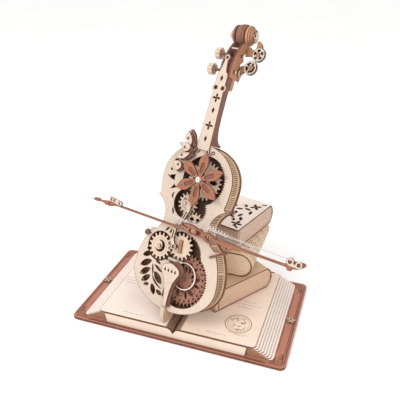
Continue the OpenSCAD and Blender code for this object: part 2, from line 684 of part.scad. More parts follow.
// ---------- moving pieces ----------
module arbor(c, y0, y1) bar_y(c[0], c[1], arbor_r, y0, y1);

module main_gear() color(red_brown) in_cello() {
    difference() {
        plate(layer_3, gear_t) at(main_c) difference() {
            gear2d(n_main, gear_m, main_p);
            for (i = [0:5]) rotate(i * 60) {
                leaf(14, 3.4, 12, 3.4, 30);
                leaf(16, -2.4, 9, 2.6, -10);
                leaf(9.4, 6, 6, 2.4, 60);
            }
            for (i = [0:23]) rotate(i * 15) translate([22.6, 0]) circle(r = 0.9, $fn = 16);
        }
        bar_y(main_c[0], main_c[1], arbor_r - 0.01, layer_3 - 1, layer_3 + 4);
    }
    arbor(main_c, layer_3 - 1, arbor_end);
}

crank_pin_r = 5.5;
crank_pin_a = 192;
module crank_gear_front() color(pale) in_cello() {
    difference() {
        plate(0, gear_t) at(crank_c) gear2d(n_front, front_m, 0);
        bar_y(crank_c[0], crank_c[1], arbor_r, -1, 4);
    }
    let(p = polar(crank_c, crank_pin_r, crank_pin_a)) bar_y(p[0], p[1], 1.6, -3.5, 1);
}
module crank_arbor() color(tan_c) in_cello() {
    arbor(crank_c, -1.6, arbor_end);
    plate(layer_2, gear_t) at(crank_c) gear2d(n_crank, gear_m, crank_p);
    plate(layer_3, gear_t) at(crank_c) gear2d(n_pinion, gear_m, pinion_p);
    plate(-1.4, 1.4 - eps) at(crank_c) rotate(4) square([3.8, 13.4], center = true);
}

module left_gear() color(pale) in_cello() {
    plate(0, gear_t) at(left_c) difference() {
        gear2d(n_front, front_m, left_p);
        difference() {
            circle(r = 6.4, $fn = 48);
            translate([-2, 0.6]) circle(r = 5.2, $fn = 48);
        }
    }
    arbor(left_c, -1.6, arbor_end);
}

module idler_gear() color(pale) in_cello() {
    plate(layer_2, gear_t) at(idler_c) difference() {
        gear2d(n_idler, gear_m, idler_p);
        for (a = [0:60:300]) rotate(a) translate([7.4, 0]) circle(r = 2.2, $fn = 32);
    }
    arbor(idler_c, -0.6, arbor_end);
}

module upper_idler() color(pale) in_cello() {
    plate(layer_2, gear_t) at(upper_c) difference() {
        gear2d(n_upper, gear_m, upper_p);
        for (a = [0:72:288]) rotate(a) translate([5.6, 0]) circle(r = 1.5, $fn = 32);
    }
    arbor(upper_c, -3.2, arbor_end);
}

module flower_gear() color(pale) in_cello() {
    difference() {
        plate(layer_2, gear_t) at(flower_c) difference() {
            gear2d(n_flower, gear_m, flower_p);
            for (a = [0:60:300]) rotate(a) leaf(10.5, 0, 9, 4.6, 0);
        }
        bar_y(flower_c[0], flower_c[1], arbor_r, 0, 9);
    }
    arbor(flower_c, -9, arbor_end);
}

petal_y = -9;
flower_turn = 27;
// Half widths of a petal at distances from the flower's middle
petal = [[3.6, 1.9], [7, 2.9], [11, 4.3], [15, 5.4], [18, 5.8], [21, 5.3], [24, 3.7], [26.6, 1.7]];
module petal2d() difference() {
    polygon(concat(petal, [[flower_r, 0]], [for (i = [len(petal) - 1:-1:0]) [petal[i][0], -petal[i][1]]]));
    slot2d(12.4, 0, 11, 3.8, 0);
}
module flower() color(red_brown) in_cello() {
    plate(petal_y, ply) at(flower_c) difference() {
        union() {
            for (i = [0:5]) rotate(flower_turn + 60 * i) petal2d();
            circle(r = 4.6, $fn = 48);
        }
        circle(r = arbor_r, $fn = 32);
    }
    plate(petal_y + 0.6, 1.2) at(flower_c) difference() {
        for (i = [0:5]) rotate(flower_turn + 60 * i) slot2d(12.4, 0, 10.8, 3.6, 0);
        circle(r = 4, $fn = 32);
    }
}
module flower_cap() color("white") in_cello() difference() {
    union() {
        bar_y(flower_c[0], flower_c[1], 3, petal_y - 1.4, petal_y - eps);
        bar_y(flower_c[0], flower_c[1], 2, petal_y - 2.2, petal_y - 1.4);
    }
    bar_y(flower_c[0], flower_c[1], 0.8, petal_y - 3, petal_y - 1);
}

// ---------- bow, sliding along its length on its guide post ----------
bow_y = -11;
bow_tilt = 0.9;
module in_bow() translate([bow_pivot[0], 0, bow_pivot[1]]) rotate([0, bow_tilt, 0]) children();

bow_slot = 10;
module bow_pivot_post() color(tan_c) in_cello() {
    bar_y(bow_pivot[0], bow_pivot[1], 2, -11, -eps);
    bar_y(bow_pivot[0], bow_pivot[1], 3.4, -6.4, -eps);
}

stick_h = 2.2;
stick_z = -0.9;
stick_t = 3.2;
stick_y = bow_y + stick_t;
// Left end: spearhead, neck and teardrop
module stick_left2d() polygon([[-bow_left, -2.4], [-bow_left + 4, -0.2], [-bow_left + 8.6, 0.2],
    [-bow_left + 10.4, -1], [-bow_left + 14, -0.8], [-bow_left + 22, 0.6], [-bow_left + 32, 1.2],
    [-bow_left + 46, -0.1], [-bow_left + 46, -1.6], [-bow_left + 34, -2.4], [-bow_left + 28, -4.6],
    [-bow_left + 22, -4.6], [-bow_left + 17, -3.2], [-bow_left + 12, -2.6], [-bow_left + 9.6, -3.8],
    [-bow_left + 4, -3.9]]);
module stick_right2d() polygon([[bow_right - 21, stick_z - 0.6], [bow_right - 16, -2.3], [bow_right - 15, -4.4],
    [bow_right - 12, -4.4], [bow_right - 10.6, -1.8], [bow_right - 5, -0.8], [bow_right, 3],
    [bow_right + 0.6, 5.4], [bow_right - 2, 6.4], [bow_right - 7, 5.4], [bow_right - 12, 5.4],
    [bow_right - 15, 4.6], [bow_right - 17, 1.6], [bow_right - 21, stick_z + 0.6]]);
// Bracket with its hook, right of the scroll ornament
module stick_hook2d() polygon([[24, -0.3], [34, 0.9], [44, 0.9], [57, -0.3], [57, -1.5], [52, -3.4], [47, -2.8],
    [44, -4.6], [40.6, -6.6], [36, -7.4], [34.4, -6], [37.4, -4.4], [33, -3.6], [28, -3.4], [24, -1.6]]);

module stick_layer(t0, t) plate(bow_y + t0, t) children();
module bow_stick() color(red_brown) in_cello() in_bow() difference() {
    union() {
        stick_layer(0, stick_t) translate([-bow_left + 26, stick_z - stick_h / 2])
            square([bow_left + bow_right - 44, stick_h]);
        stick_layer(0, stick_t) stick_left2d();
        stick_layer(0, stick_t) stick_right2d();
        stick_layer(0, stick_t) stick_hook2d();
        // scroll ornament: two almonds that cross beside the guide post
        stick_layer(0, stick_t) slot2d(0, 0, bow_slot + 8.6, 7.6, 0);
        stick_layer(0, stick_t) leaf(-5, 1.4, 28, 9.4, -12);
        stick_layer(0, stick_t) leaf(17, -1.4, 23, 9.4, -14);
    }
    stick_layer(-1, stick_t + 2) {
        slot2d(-13, 3.2, 8, 1.5, -12);
        leaf(18.4, -1.8, 12.6, 4.6, -14);
        translate([39.4, -4.8]) circle(r = 0.7, $fn = 24);
        translate([-bow_left + 26, -2]) circle(r = 0.9, $fn = 24);
        slot2d(0, 0, bow_slot + 4.2, 4.2, 0);
    }
}

module bow_fittings() color(pale) in_cello() in_bow() {
    plate(bow_y - 1.7, 1.6) difference() {
        union() {
            translate([-bow_left + 36, 3.2]) rotate(-7) square([18, 5.2], center = true);
            translate([-bow_left + 43, 2.2]) circle(r = 3.2, $fn = 32);
        }
        for (x = [30, 34.6]) translate([-bow_left + x, 4.2 - (x - 30) * 0.12]) circle(r = 1.2, $fn = 24);
        translate([-bow_left + 43, 2.2]) circle(r = 1.5, $fn = 24);
    }
    plate(bow_y - 1.7, 1.6) difference() {
        union() {
            translate([bow_right - 13.4, 4.2]) circle(r = 3.7, $fn = 32);
            translate([bow_right - 4.6, 3.4]) circle(r = 3.5, $fn = 32);
            translate([bow_right - 9, 1.6]) square([9, 3], center = true);
        }
        translate([bow_right - 13.4, 4.2]) circle(r = 1.9, $fn = 32);
        translate([bow_right - 4.6, 3.4]) circle(r = 1.7, $fn = 32);
    }
}

// Hair drawn from fitting to fitting over the top of the clear sheet
hair_pts = [[-bow_left + 45.5, 4.3], [-46, 6.9], [0, 7.3], [74, 5.9], [bow_right - 17.2, 5.5]];
hair_t = 0.6;
module bow_hair() color("white") in_cello() in_bow() plate(bow_y - 1.3, 0.8)
    polygon(concat(hair_pts, [for (i = [len(hair_pts) - 1:-1:0]) [hair_pts[i][0], hair_pts[i][1] + hair_t]]));

// Clear sheet behind the stick
module bow_clear_strip() color("lightblue", 0.4) in_cello() in_bow() plate(stick_y + eps, 1) difference() {
    polygon([[-47, -0.2], [-47, 6.2], [-34, 8.2], [-18, 8.6], [-4, 10.2], [8, 12.4], [18, 12.4], [30, 10.4],
             [44, 8.2], [60, 7], [75, 5.4], [75, -0.2]]);
    slot2d(0, 0, bow_slot + 4.6, 4.6, 0);
    for (p = [[13, 7.6], [19, 7], [25, 6.4]]) slot2d(p[0], p[1], 4.4, 1.1, 70);
}

link_top = rocker_end;
link_low = polar(crank_c, crank_pin_r, crank_pin_a);
module drive_link() color(pale) in_cello() difference() {
    union() {
        plate(-6, ply) polygon([[-6.2, 79.4], [-10.8, 85], [-11.5, 90], [-10.8, 95], [-9.8, 99.2],
                                [-6.2, 99.2], [-5.9, 96], [-6.5, 90], [-6.1, 86.4], [-2.9, 80.6]]);
        bar_y(link_low[0], link_low[1], 3.4, -6, -6 + ply);
        bar_y(link_top[0], link_top[1], 2.9, -6, -6 + ply);
    }
    plate(-7, 2 * ply) slot2d(-8.7, 91.4, 9, 1, 86);
    bar_y(link_low[0], link_low[1], 1.66, -8, -2);
    bar_y(link_top[0], link_top[1], 1.3 + bearing, -8, -2);
}

// ---------- winding key and tuning pegs ----------
module winding_key() color(pale) in_cello() {
    bar_y(key_c[0], key_c[1], 2, 15, body_d + 4);
    difference() {
        plate(body_d + 3, 3) translate(key_c) {
            circle(r = 4, $fn = 48);
            for (s = [-1, 1]) leaf(s * 5.4, 0, 10, 8, 0);
        }
        for (s = [-1, 1]) bar_y(key_c[0] + s * 6, key_c[1], 1.2, body_d, body_d + 8);
        bar_y(key_c[0], key_c[1], 1.99, body_d, body_d + 4);
    }
}

// Flower-headed peg on the left; its shaft runs through both cheeks
module flower_peg(y, z) color(pale) in_neck() {
    bar_x(y, z, peg_hole, -18.4, 8.4);
    side_plate(-23.4, 5.4) translate([y, z]) difference() {
        union() {
            for (a = [0:45:315]) rotate(a) translate([4.4, 0]) circle(r = 1.9, $fn = 32);
            circle(r = 4.6, $fn = 32);
        }
        for (a = [22.5:45:337.5]) rotate(a) slot2d(3.8, 0, 2.6, 0.6, 0);
    }
    side_plate(-24.8, 8.2) translate([y, z]) difference() {
        circle(r = 3.4, $fn = 32);
        for (a = [0:60:300]) rotate(a) slot2d(2, 0, 1.6, 0.5, 0);
    }
}

// Arms that carry the two wheels at the right, and the pins the wheels turn on
wheel_at = [[23.7, 292], [20, 277.2]];
wheel_y = [16.4, 13.4];
wheel_t = 1.9;
module wheel_arms() color(tan_c) in_neck() {
    plate(wheel_y[0] + 2 * wheel_t + 0.3, ply) polygon([[6.42, 289.6], [12, 290.4], [18.6, 289.2], [23.7, 289.2],
        [25.6, 291], [26.2, 295], [24.6, 299.6], [22.4, 304], [19, 306.6], [16.2, 306.2], [17.4, 301.4],
        [16.6, 297.4], [12.6, 297.2], [10.4, 299.4], [6.42, 295.6]]);
    plate(wheel_y[1] + 2 * wheel_t + 0.3, ply) polygon([[8.1, 270.6], [10, 270.4], [13, 274], [19, 273.4],
        [22.4, 274.4], [22.4, 280], [18, 281], [12, 279.4], [6.42, 278.4], [6.42, 275.8], [8.1, 275.7]]);
    for (i = [0, 1]) {
        bar_y(wheel_at[i][0], wheel_at[i][1], peg_hole, wheel_y[i] - 0.4, wheel_y[i] + 5.6);
        bar_y(wheel_at[i][0], wheel_at[i][1], 2, wheel_y[i] - 1.2, wheel_y[i] - 0.3);
    }
}

// Smooth face disc in front of a toothed disc; five kites round the hub, or a ring cut by three spokes
module wheel_peg(i) color(pale) in_neck() difference() {
    union() {
        plate(wheel_y[i], wheel_t) at(wheel_at[i]) circle(r = 7, $fn = 64);
        plate(wheel_y[i] + wheel_t, wheel_t) at(wheel_at[i]) gear2d(26, 0.53, 0);
    }
    bar_y(wheel_at[i][0], wheel_at[i][1], peg_hole + bearing, 0, 40);
    plate(wheel_y[i] - 1, 6) at(wheel_at[i]) {
        if (i == 0) for (k = [0:4]) rotate(k * 72 + 20)
            polygon([[2.6, 0.1], [4.2, -1.6], [5.5, -0.8], [5.3, 1.5], [3.6, 2.1]]);
        if (i == 1) difference() {
            circle(r = 5.2, $fn = 48);
            circle(r = 3, $fn = 48);
            for (a = [80, 160, 240]) rotate(a) translate([0, -0.7]) square([6, 1.4]);
        }
    }
}

module upper_left_peg() flower_peg(peg_spots[0][0], peg_spots[0][1]);
module lower_left_peg() flower_peg(peg_spots[1][0], peg_spots[1][1]);
module upper_right_peg() wheel_peg(0);
module lower_right_peg() wheel_peg(1);

cover_board();
cover_studs();
left_page_sheets();
right_page_sheets();
left_top_page();
right_top_page();
gutter_strips();
page_fascias();
lower_book_cover();
lower_book_pages();
middle_book_cover();
middle_book_pages();
top_book_base();
top_book_pages();
top_book_spine();
top_book_lace_cover();
rear_prop();
back_plate();
front_plate();
movement_plate();
upper_rib();
waist_ribs();
lower_rib();
corner_rods();
plate_posts();
neck_sides();
neck_core();
fingerboard();
pegbox_cheeks();
scroll_discs();
scroll_caps();
bow_rocker();
leaf_ornament_dark();
leaf_ornament_pale();
crescent_ring();
tailpiece();
tailpiece_underlay();
end_foot();
music_movement();
bow_pivot_post();
main_gear();
crank_gear_front();
crank_arbor();
left_gear();
idler_gear();
upper_idler();
flower_gear();
flower();
flower_cap();
bow_stick();
bow_fittings();
bow_hair();
bow_clear_strip();
drive_link();
winding_key();
wheel_arms();
upper_left_peg();
lower_left_peg();
upper_right_peg();
lower_right_peg();
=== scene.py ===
"""Plywood cello model on an open book: looks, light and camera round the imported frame."""

import json
import math
import random

import bpy
from mathutils import Matrix, Vector


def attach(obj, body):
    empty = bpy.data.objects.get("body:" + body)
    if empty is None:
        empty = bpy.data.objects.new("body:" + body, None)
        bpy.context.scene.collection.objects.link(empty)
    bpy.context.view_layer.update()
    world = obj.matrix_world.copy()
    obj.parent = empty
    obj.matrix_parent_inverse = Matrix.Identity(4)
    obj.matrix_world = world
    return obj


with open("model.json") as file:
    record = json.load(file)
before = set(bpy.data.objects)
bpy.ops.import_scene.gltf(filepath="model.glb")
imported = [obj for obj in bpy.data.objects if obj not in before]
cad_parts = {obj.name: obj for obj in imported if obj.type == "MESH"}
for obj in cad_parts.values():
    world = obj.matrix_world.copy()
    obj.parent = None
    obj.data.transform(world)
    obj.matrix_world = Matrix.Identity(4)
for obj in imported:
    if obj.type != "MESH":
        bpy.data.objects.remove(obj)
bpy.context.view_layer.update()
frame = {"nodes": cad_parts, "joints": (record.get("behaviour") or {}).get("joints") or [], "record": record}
nodes = frame["nodes"]
MM = 0.001
random.seed(7)

# ---------------------------------------------------------------- frames of reference
# The CAD's own driving places, in millimetres and degrees
CELLO_AT, CELLO_YAW, CELLO_LEAN, CELLO_ROLL = (-14, -61, 19), -17, -26.5, -2
BOW_AT, BOW_TILT = (20, 0, 101.5), 0.9
TAIL_FOOT, TAIL_PROUD, TAIL_LIFT = 15, -2.2, 5.3
NECK_ROOT, NECK_TURN = 190, 1.8
LOW_AT, LOW_YAW = (34, -28, 15), 56
MID_AT = (4, 9.5, 41.5)
TOP_AT, TOP_YAW = (44.6, 18.2, 71.5), 73


def shift(x, y, z):
    """Move by millimetres."""
    return Matrix.Translation(Vector((x, y, z)) * MM)


def turned(degrees, axis):
    return Matrix.Rotation(math.radians(degrees), 4, axis)


CELLO = shift(*CELLO_AT) @ turned(CELLO_YAW, "Z") @ turned(CELLO_LEAN, "X") @ turned(CELLO_ROLL, "Y")
BOW = CELLO @ shift(*BOW_AT) @ turned(BOW_TILT, "Y")
TAIL = CELLO @ shift(0, TAIL_PROUD, TAIL_FOOT) @ turned(TAIL_LIFT, "X") @ shift(0, 0, -TAIL_FOOT)
NECK = CELLO @ shift(0, 0, NECK_ROOT) @ turned(NECK_TURN, "Y") @ shift(0, 0, -NECK_ROOT)
LOW = shift(*LOW_AT) @ turned(LOW_YAW, "Z")
MID = shift(*MID_AT)
TOP = shift(*TOP_AT) @ turned(TOP_YAW, "Z")
UP, ALONG_Y = Vector((0, 0, 1)), Vector((0, 1, 0))
CX, CY = (CELLO.to_3x3() @ Vector(v) for v in ((1, 0, 0), (0, 1, 0)))
NX, NY = (NECK.to_3x3() @ Vector(v) for v in ((1, 0, 0), (0, 1, 0)))
TY = TAIL.to_3x3() @ ALONG_Y
INTO, TO_NECK, LEVEL = CELLO.inverted(), NECK.inverted(), Matrix.Identity(4)
BODY_OF = {node: body for body, members in frame["record"]["behaviour"]["bodies"].items() for node in members}


def hub(body):
    """Where a turning body's axis crosses the front plate, as (across, up) in millimetres."""
    joint = next(j for j in frame["joints"] if j["child"] == body)
    centre = INTO @ Vector(joint["pos_m"]) / MM
    return centre.x, centre.z


# ---------------------------------------------------------------- procedural materials
BUMP_DEPTH = 0.0001


def srgb(r, g, b):
    """Linear colour from 8-bit display values."""
    shares = (c / 255 for c in (r, g, b))
    return tuple(v / 12.92 if v <= 10 / 255 else ((v + 0.055) / 1.055) ** 2.4 for v in shares) + (1.0,)


def darker(colour, share):
    return tuple(c * share for c in colour[:3]) + (1,)


def grey(value):
    return (value, value, value, 1)


def ramp(tree, fac, stops):
    n = tree.nodes.new("ShaderNodeValToRGB")
    while len(n.color_ramp.elements) < len(stops):
        n.color_ramp.elements.new(0.5)
    for e, (p, c) in zip(n.color_ramp.elements, stops):
        e.position, e.color = p, c
    tree.links.new(fac, n.inputs["Fac"])
    return n.outputs["Color"]


def noise(tree, vec, scale, detail=4, rough=0.6):
    n = tree.nodes.new("ShaderNodeTexNoise")
    n.inputs["Scale"].default_value = scale
    n.inputs["Detail"].default_value = detail
    n.inputs["Roughness"].default_value = rough
    tree.links.new(vec, n.inputs["Vector"])
    return n.outputs["Fac"]


def mix(tree, a, b, fac, mode="MIX"):
    n = tree.nodes.new("ShaderNodeMix")
    n.data_type, n.blend_type = "RGBA", mode
    for value, sock in ((fac, n.inputs[0]), (a, n.inputs[6]), (b, n.inputs[7])):
        if isinstance(value, (int, float, tuple)):
            sock.default_value = value
        else:
            tree.links.new(value, sock)
    return n.outputs[2]


def space(tree, turn, scale):
    """Object coordinates turned into a part's own frame, then stretched."""
    co = tree.nodes.new("ShaderNodeTexCoord").outputs["Object"]
    m = tree.nodes.new("ShaderNodeMapping")
    m.vector_type = "POINT"
    m.inputs["Rotation"].default_value = turn
    s = tree.nodes.new("ShaderNodeVectorMath")
    s.operation = "MULTIPLY"
    s.inputs[1].default_value = scale
    tree.links.new(co, m.inputs["Vector"])
    tree.links.new(m.outputs["Vector"], s.inputs[0])
    return s.outputs[0]


def turn_of(matrix):
    return matrix.to_3x3().inverted().to_euler("XYZ")


def material(name):
    m = bpy.data.materials.new(name)
    m.use_nodes = True
    return m, m.node_tree, m.node_tree.nodes["Principled BSDF"]


def relief(tree, shader, height, strength):
    """Fine bump from a height pattern."""
    n = tree.nodes.new("ShaderNodeBump")
    n.inputs["Strength"].default_value = strength
    n.inputs["Distance"].default_value = BUMP_DEPTH
    tree.links.new(height, n.inputs["Height"])
    tree.links.new(n.outputs["Normal"], shader.inputs["Normal"])


def maths(tree, operation, value, factor=None):
    """One maths node: value, with a constant second input where one is needed."""
    n = tree.nodes.new("ShaderNodeMath")
    n.operation = operation
    tree.links.new(value, n.inputs[0])
    if factor is not None:
        n.inputs[1].default_value = factor
    return n


def wood(name, light, dark, turn=(0, 0, 0), stretch=(60, 60, 9), rough=0.62, bump=0.25, vary=0.5):
    """Sanded plywood: long soft grain, fine fibres and slow patches of tone."""
    m, t, p = material(name)
    grain = noise(t, space(t, turn, stretch), 8, 6, 0.65)
    fibre = noise(t, space(t, turn, tuple(s * 9 for s in stretch)), 5, 3, 0.7)
    patch = noise(t, space(t, turn, (18, 18, 18)), 1.2, 2, 0.5)
    base = ramp(t, grain, [(0.28, dark), (0.72, light)])
    base = mix(t, base, ramp(t, fibre, [(0.3, darker(light, 0.86)), (0.62, light)]), vary)
    clouds = ramp(t, patch, [(0.3, (0.93, 0.92, 0.91, 1)), (0.7, (1.03, 1.02, 1.01, 1))])
    t.links.new(mix(t, base, clouds, 1.0, "MULTIPLY"), p.inputs["Base Color"])
    p.inputs["Roughness"].default_value = rough
    p.inputs["IOR"].default_value = 1.42
    relief(t, p, fibre, bump)
    return m


def banded(name, light, dark, turn, pitch, rough=0.7, fill=0.42, soft=0.12, grain=0.35):
    """Layered edge: thin dark lines every pitch metres along the local Z axis, a little wavy."""
    m, t, p = material(name)
    axes = t.nodes.new("ShaderNodeSeparateXYZ")
    t.links.new(space(t, turn, (1, 1, 1)), axes.inputs[0])
    waver = maths(t, "MULTIPLY", noise(t, space(t, turn, (30, 30, 200)), 3, 2, 0.5), 0.5)
    count = maths(t, "MULTIPLY_ADD", axes.outputs["Z"], 1 / pitch)
    t.links.new(waver.outputs[0], count.inputs[2])
    within = maths(t, "FRACT", count.outputs[0]).outputs[0]
    half = fill * 0.5
    lines = ramp(t, within, [(0.0, dark), (half, dark), (half + soft, light), (1 - soft * 0.6, light)])
    tone = noise(t, space(t, turn, (120, 120, 300)), 4, 4, 0.6)
    stain = ramp(t, tone, [(0.3, darker(light, 0.72)), (0.7, light)])
    t.links.new(mix(t, lines, stain, grain), p.inputs["Base Color"])
    p.inputs["Roughness"].default_value = rough
    return m


def plain(name, a, b, scale=260, rough=0.6, metallic=0.0, bump=0.15):
    """Tone that wanders slightly between two colours."""
    m, t, p = material(name)
    n = noise(t, space(t, (0, 0, 0), (1, 1, 1)), scale, 3, 0.6)
    t.links.new(ramp(t, n, [(0.3, a), (0.7, b)]), p.inputs["Base Color"])
    p.inputs["Roughness"].default_value = rough
    p.inputs["Metallic"].default_value = metallic
    relief(t, p, n, bump)
    return m


# Grain runs up the cello's parts, and across the page on level ones
CELLO_GRAIN = turn_of(CELLO)
LEVEL_GRAIN = {"turn": (0, 0, 0), "stretch": (9, 60, 60)}
PAGE_GRAIN = {**LEVEL_GRAIN, "vary": 0.25, "bump": 0.1}
TOP_PAGE_GRAIN = {**LEVEL_GRAIN, "vary": 0.2, "bump": 0.08}
PALE = wood("pale_basswood", srgb(219, 201, 185), srgb(199, 178, 158), CELLO_GRAIN)
PALE_B = wood("pale_gear_wood", srgb(224, 203, 181), srgb(202, 176, 150), CELLO_GRAIN)
# Back plate: a darker copy of the plate wood, painted shade where it lies behind the front plate
BACK_SHADED = wood("back_plate_shaded_wood", srgb(194, 164, 138), srgb(170, 138, 111), CELLO_GRAIN)
RED = wood("red_brown_ply", srgb(168, 111, 84), srgb(142, 87, 64), CELLO_GRAIN)
RED_GEAR = wood("red_brown_gear", srgb(170, 118, 97), srgb(140, 92, 74), CELLO_GRAIN)
RED_DARK = wood("red_brown_inlay", srgb(156, 98, 73), srgb(128, 76, 55), CELLO_GRAIN)
MAUVE = wood("mauve_ply", srgb(130, 88, 75), srgb(92, 60, 49), CELLO_GRAIN)
ORANGE = wood("orange_ply", srgb(190, 136, 102), srgb(142, 94, 66), CELLO_GRAIN)
# Plate seen through the cello's openings: dark brown wood, darkened further as painted shade inside the body
INNER_SHADED = wood("inner_plate_shaded", srgb(96, 67, 54), srgb(62, 42, 33), CELLO_GRAIN)
# The inner plate's lower left part: a lighter copy with less painted shade
INNER_LESS_SHADED = wood("inner_plate_lower_less_shaded", srgb(150, 112, 90), srgb(112, 80, 62), CELLO_GRAIN)
TAN = wood("tan_ply", srgb(214, 181, 148), srgb(188, 152, 118), CELLO_GRAIN, (60, 9, 60))
TAN_W = wood("tan_book_ply", srgb(222, 194, 166), srgb(202, 170, 140), (0, 0, 0), (9, 40, 60))
RED_BOARD = wood("red_brown_board", srgb(188, 126, 104), srgb(160, 98, 77), **LEVEL_GRAIN)
SHADE = wood("shaded_page", srgb(74, 54, 46), srgb(48, 34, 29), **LEVEL_GRAIN)
CREAM = wood("page_cream", srgb(238, 219, 202), srgb(228, 206, 187), **PAGE_GRAIN)
LACE = wood("lace_veneer", srgb(250, 236, 227), srgb(240, 223, 212), **PAGE_GRAIN)
PAGE = wood("page_top", srgb(243, 230, 221), srgb(236, 218, 207), **TOP_PAGE_GRAIN)
# Right page: a slightly darker, browner copy of the page wood, painted shade
PAGE_R_SHADED = wood("page_top_right_shaded", srgb(239, 222, 207), srgb(230, 208, 190), **TOP_PAGE_GRAIN)
EDGE = plain("burnt_edge", srgb(96, 58, 37), srgb(138, 92, 62), 420, 0.75)
BOOK_EDGE = plain("book_edge", srgb(88, 50, 31), srgb(130, 82, 54), 420, 0.75)
# Dark burnt edge colour; on the front plate's inner cuts and in the ribs' hinge slots it also stands for
# painted shade
EDGE_DARK = plain("burnt_edge_dark_and_shade", srgb(70, 44, 34), srgb(112, 72, 55), 420, 0.75)
EDGE_RED = plain("burnt_edge_red", srgb(88, 48, 38), srgb(134, 80, 62), 420, 0.75)
BURN = plain("burnt_groove", srgb(92, 58, 46), srgb(120, 76, 58), 600, 0.8)
LINE = plain("engraved_line", srgb(140, 108, 86), srgb(168, 136, 112), 900, 0.8)
LINE_GOLD = plain("engraved_gold", srgb(170, 134, 96), srgb(192, 158, 118), 900, 0.75)
LINE_OLIVE = plain("engraved_olive", srgb(104, 80, 52), srgb(132, 104, 72), 900, 0.75)
GREY_LINE = plain("grey_line", srgb(120, 112, 110), srgb(150, 142, 138), 900, 0.5)
INK = plain("printed_black", srgb(52, 42, 40), srgb(78, 64, 58), 900, 0.6)
WHITE = plain("painted_white", srgb(240, 234, 227), srgb(248, 244, 239), 300, 0.5)
IVORY = plain("ivory_ring", srgb(222, 204, 186), srgb(236, 220, 204), 300, 0.55)
STEEL = plain("movement_steel", srgb(150, 150, 152), srgb(186, 186, 188), 200, 0.35, 1.0)
HAIR = plain("bow_cord", srgb(176, 170, 166), srgb(206, 200, 196), 900, 0.6)


def layers(name, light, dark, pitch_mm, turn=(0, 0, 0), **look):
    return banded(name, srgb(*light), srgb(*dark), turn, pitch_mm * MM, **look)


ACROSS_NECK = turn_of(NECK @ turned(90, "Y"))
PAGES_LOW = layers("low_book_pages", (226, 192, 164), (92, 56, 38), 2.2, fill=0.36, soft=0.1, grain=0.24)
PAGES_MID = layers("mid_book_pages", (240, 212, 184), (124, 80, 54), 2.9, fill=0.2, soft=0.06)
PAGES_TOP = layers("top_book_pages", (206, 176, 156), (104, 68, 48), 3.3, fill=0.22, soft=0.08)
CORE = layers("page_core", (172, 130, 96), (78, 48, 30), 1.5, fill=0.56, soft=0.1, grain=0.2)
STEP = layers("page_steps", (112, 76, 56), (70, 42, 30), 1.5, fill=0.8, soft=0.16)
SCROLL_M = layers("scroll_layers_dark", (152, 104, 86), (66, 40, 32), 2, ACROSS_NECK, fill=0.4, soft=0.2)
SCROLL_O = layers("scroll_layers_pale", (214, 166, 134), (112, 68, 46), 2, ACROSS_NECK, fill=0.34, soft=0.2)


def clear_sheet():
    """Nearly transparent film."""
    m, t, p = material("clear_sheet")
    n = noise(t, space(t, (0, 0, 0), (1, 1, 1)), 300, 3, 0.6)
    tint = ramp(t, n, [(0.3, (0.86, 0.88, 0.9, 1)), (0.7, (0.95, 0.96, 0.98, 1))])
    t.links.new(tint, p.inputs["Base Color"])
    p.inputs["Roughness"].default_value = 0.12
    p.inputs["Alpha"].default_value = 0.05
    return m


CLEAR = clear_sheet()


def dress(node, face, edge=None, axis=None):
    """Flat faces square to axis take one material and every cut edge takes another."""
    mesh = nodes[node].data
    mesh.materials.clear()
    mesh.materials.append(face)
    if edge:
        mesh.materials.append(edge)
    for poly in mesh.polygons:
        poly.material_index = 1 if edge and abs(poly.normal.dot(axis)) < 0.7 else 0


def repaint(node, into, mat, test):
    """Faces take a material where test(centre, normal) holds, in a local frame in millimetres."""
    mesh = nodes[node].data
    mesh.materials.append(mat)
    slot = len(mesh.materials) - 1
    turn = into.to_3x3()
    for poly in mesh.polygons:
        if test(into @ poly.center / MM, turn @ poly.normal):
            poly.material_index = slot


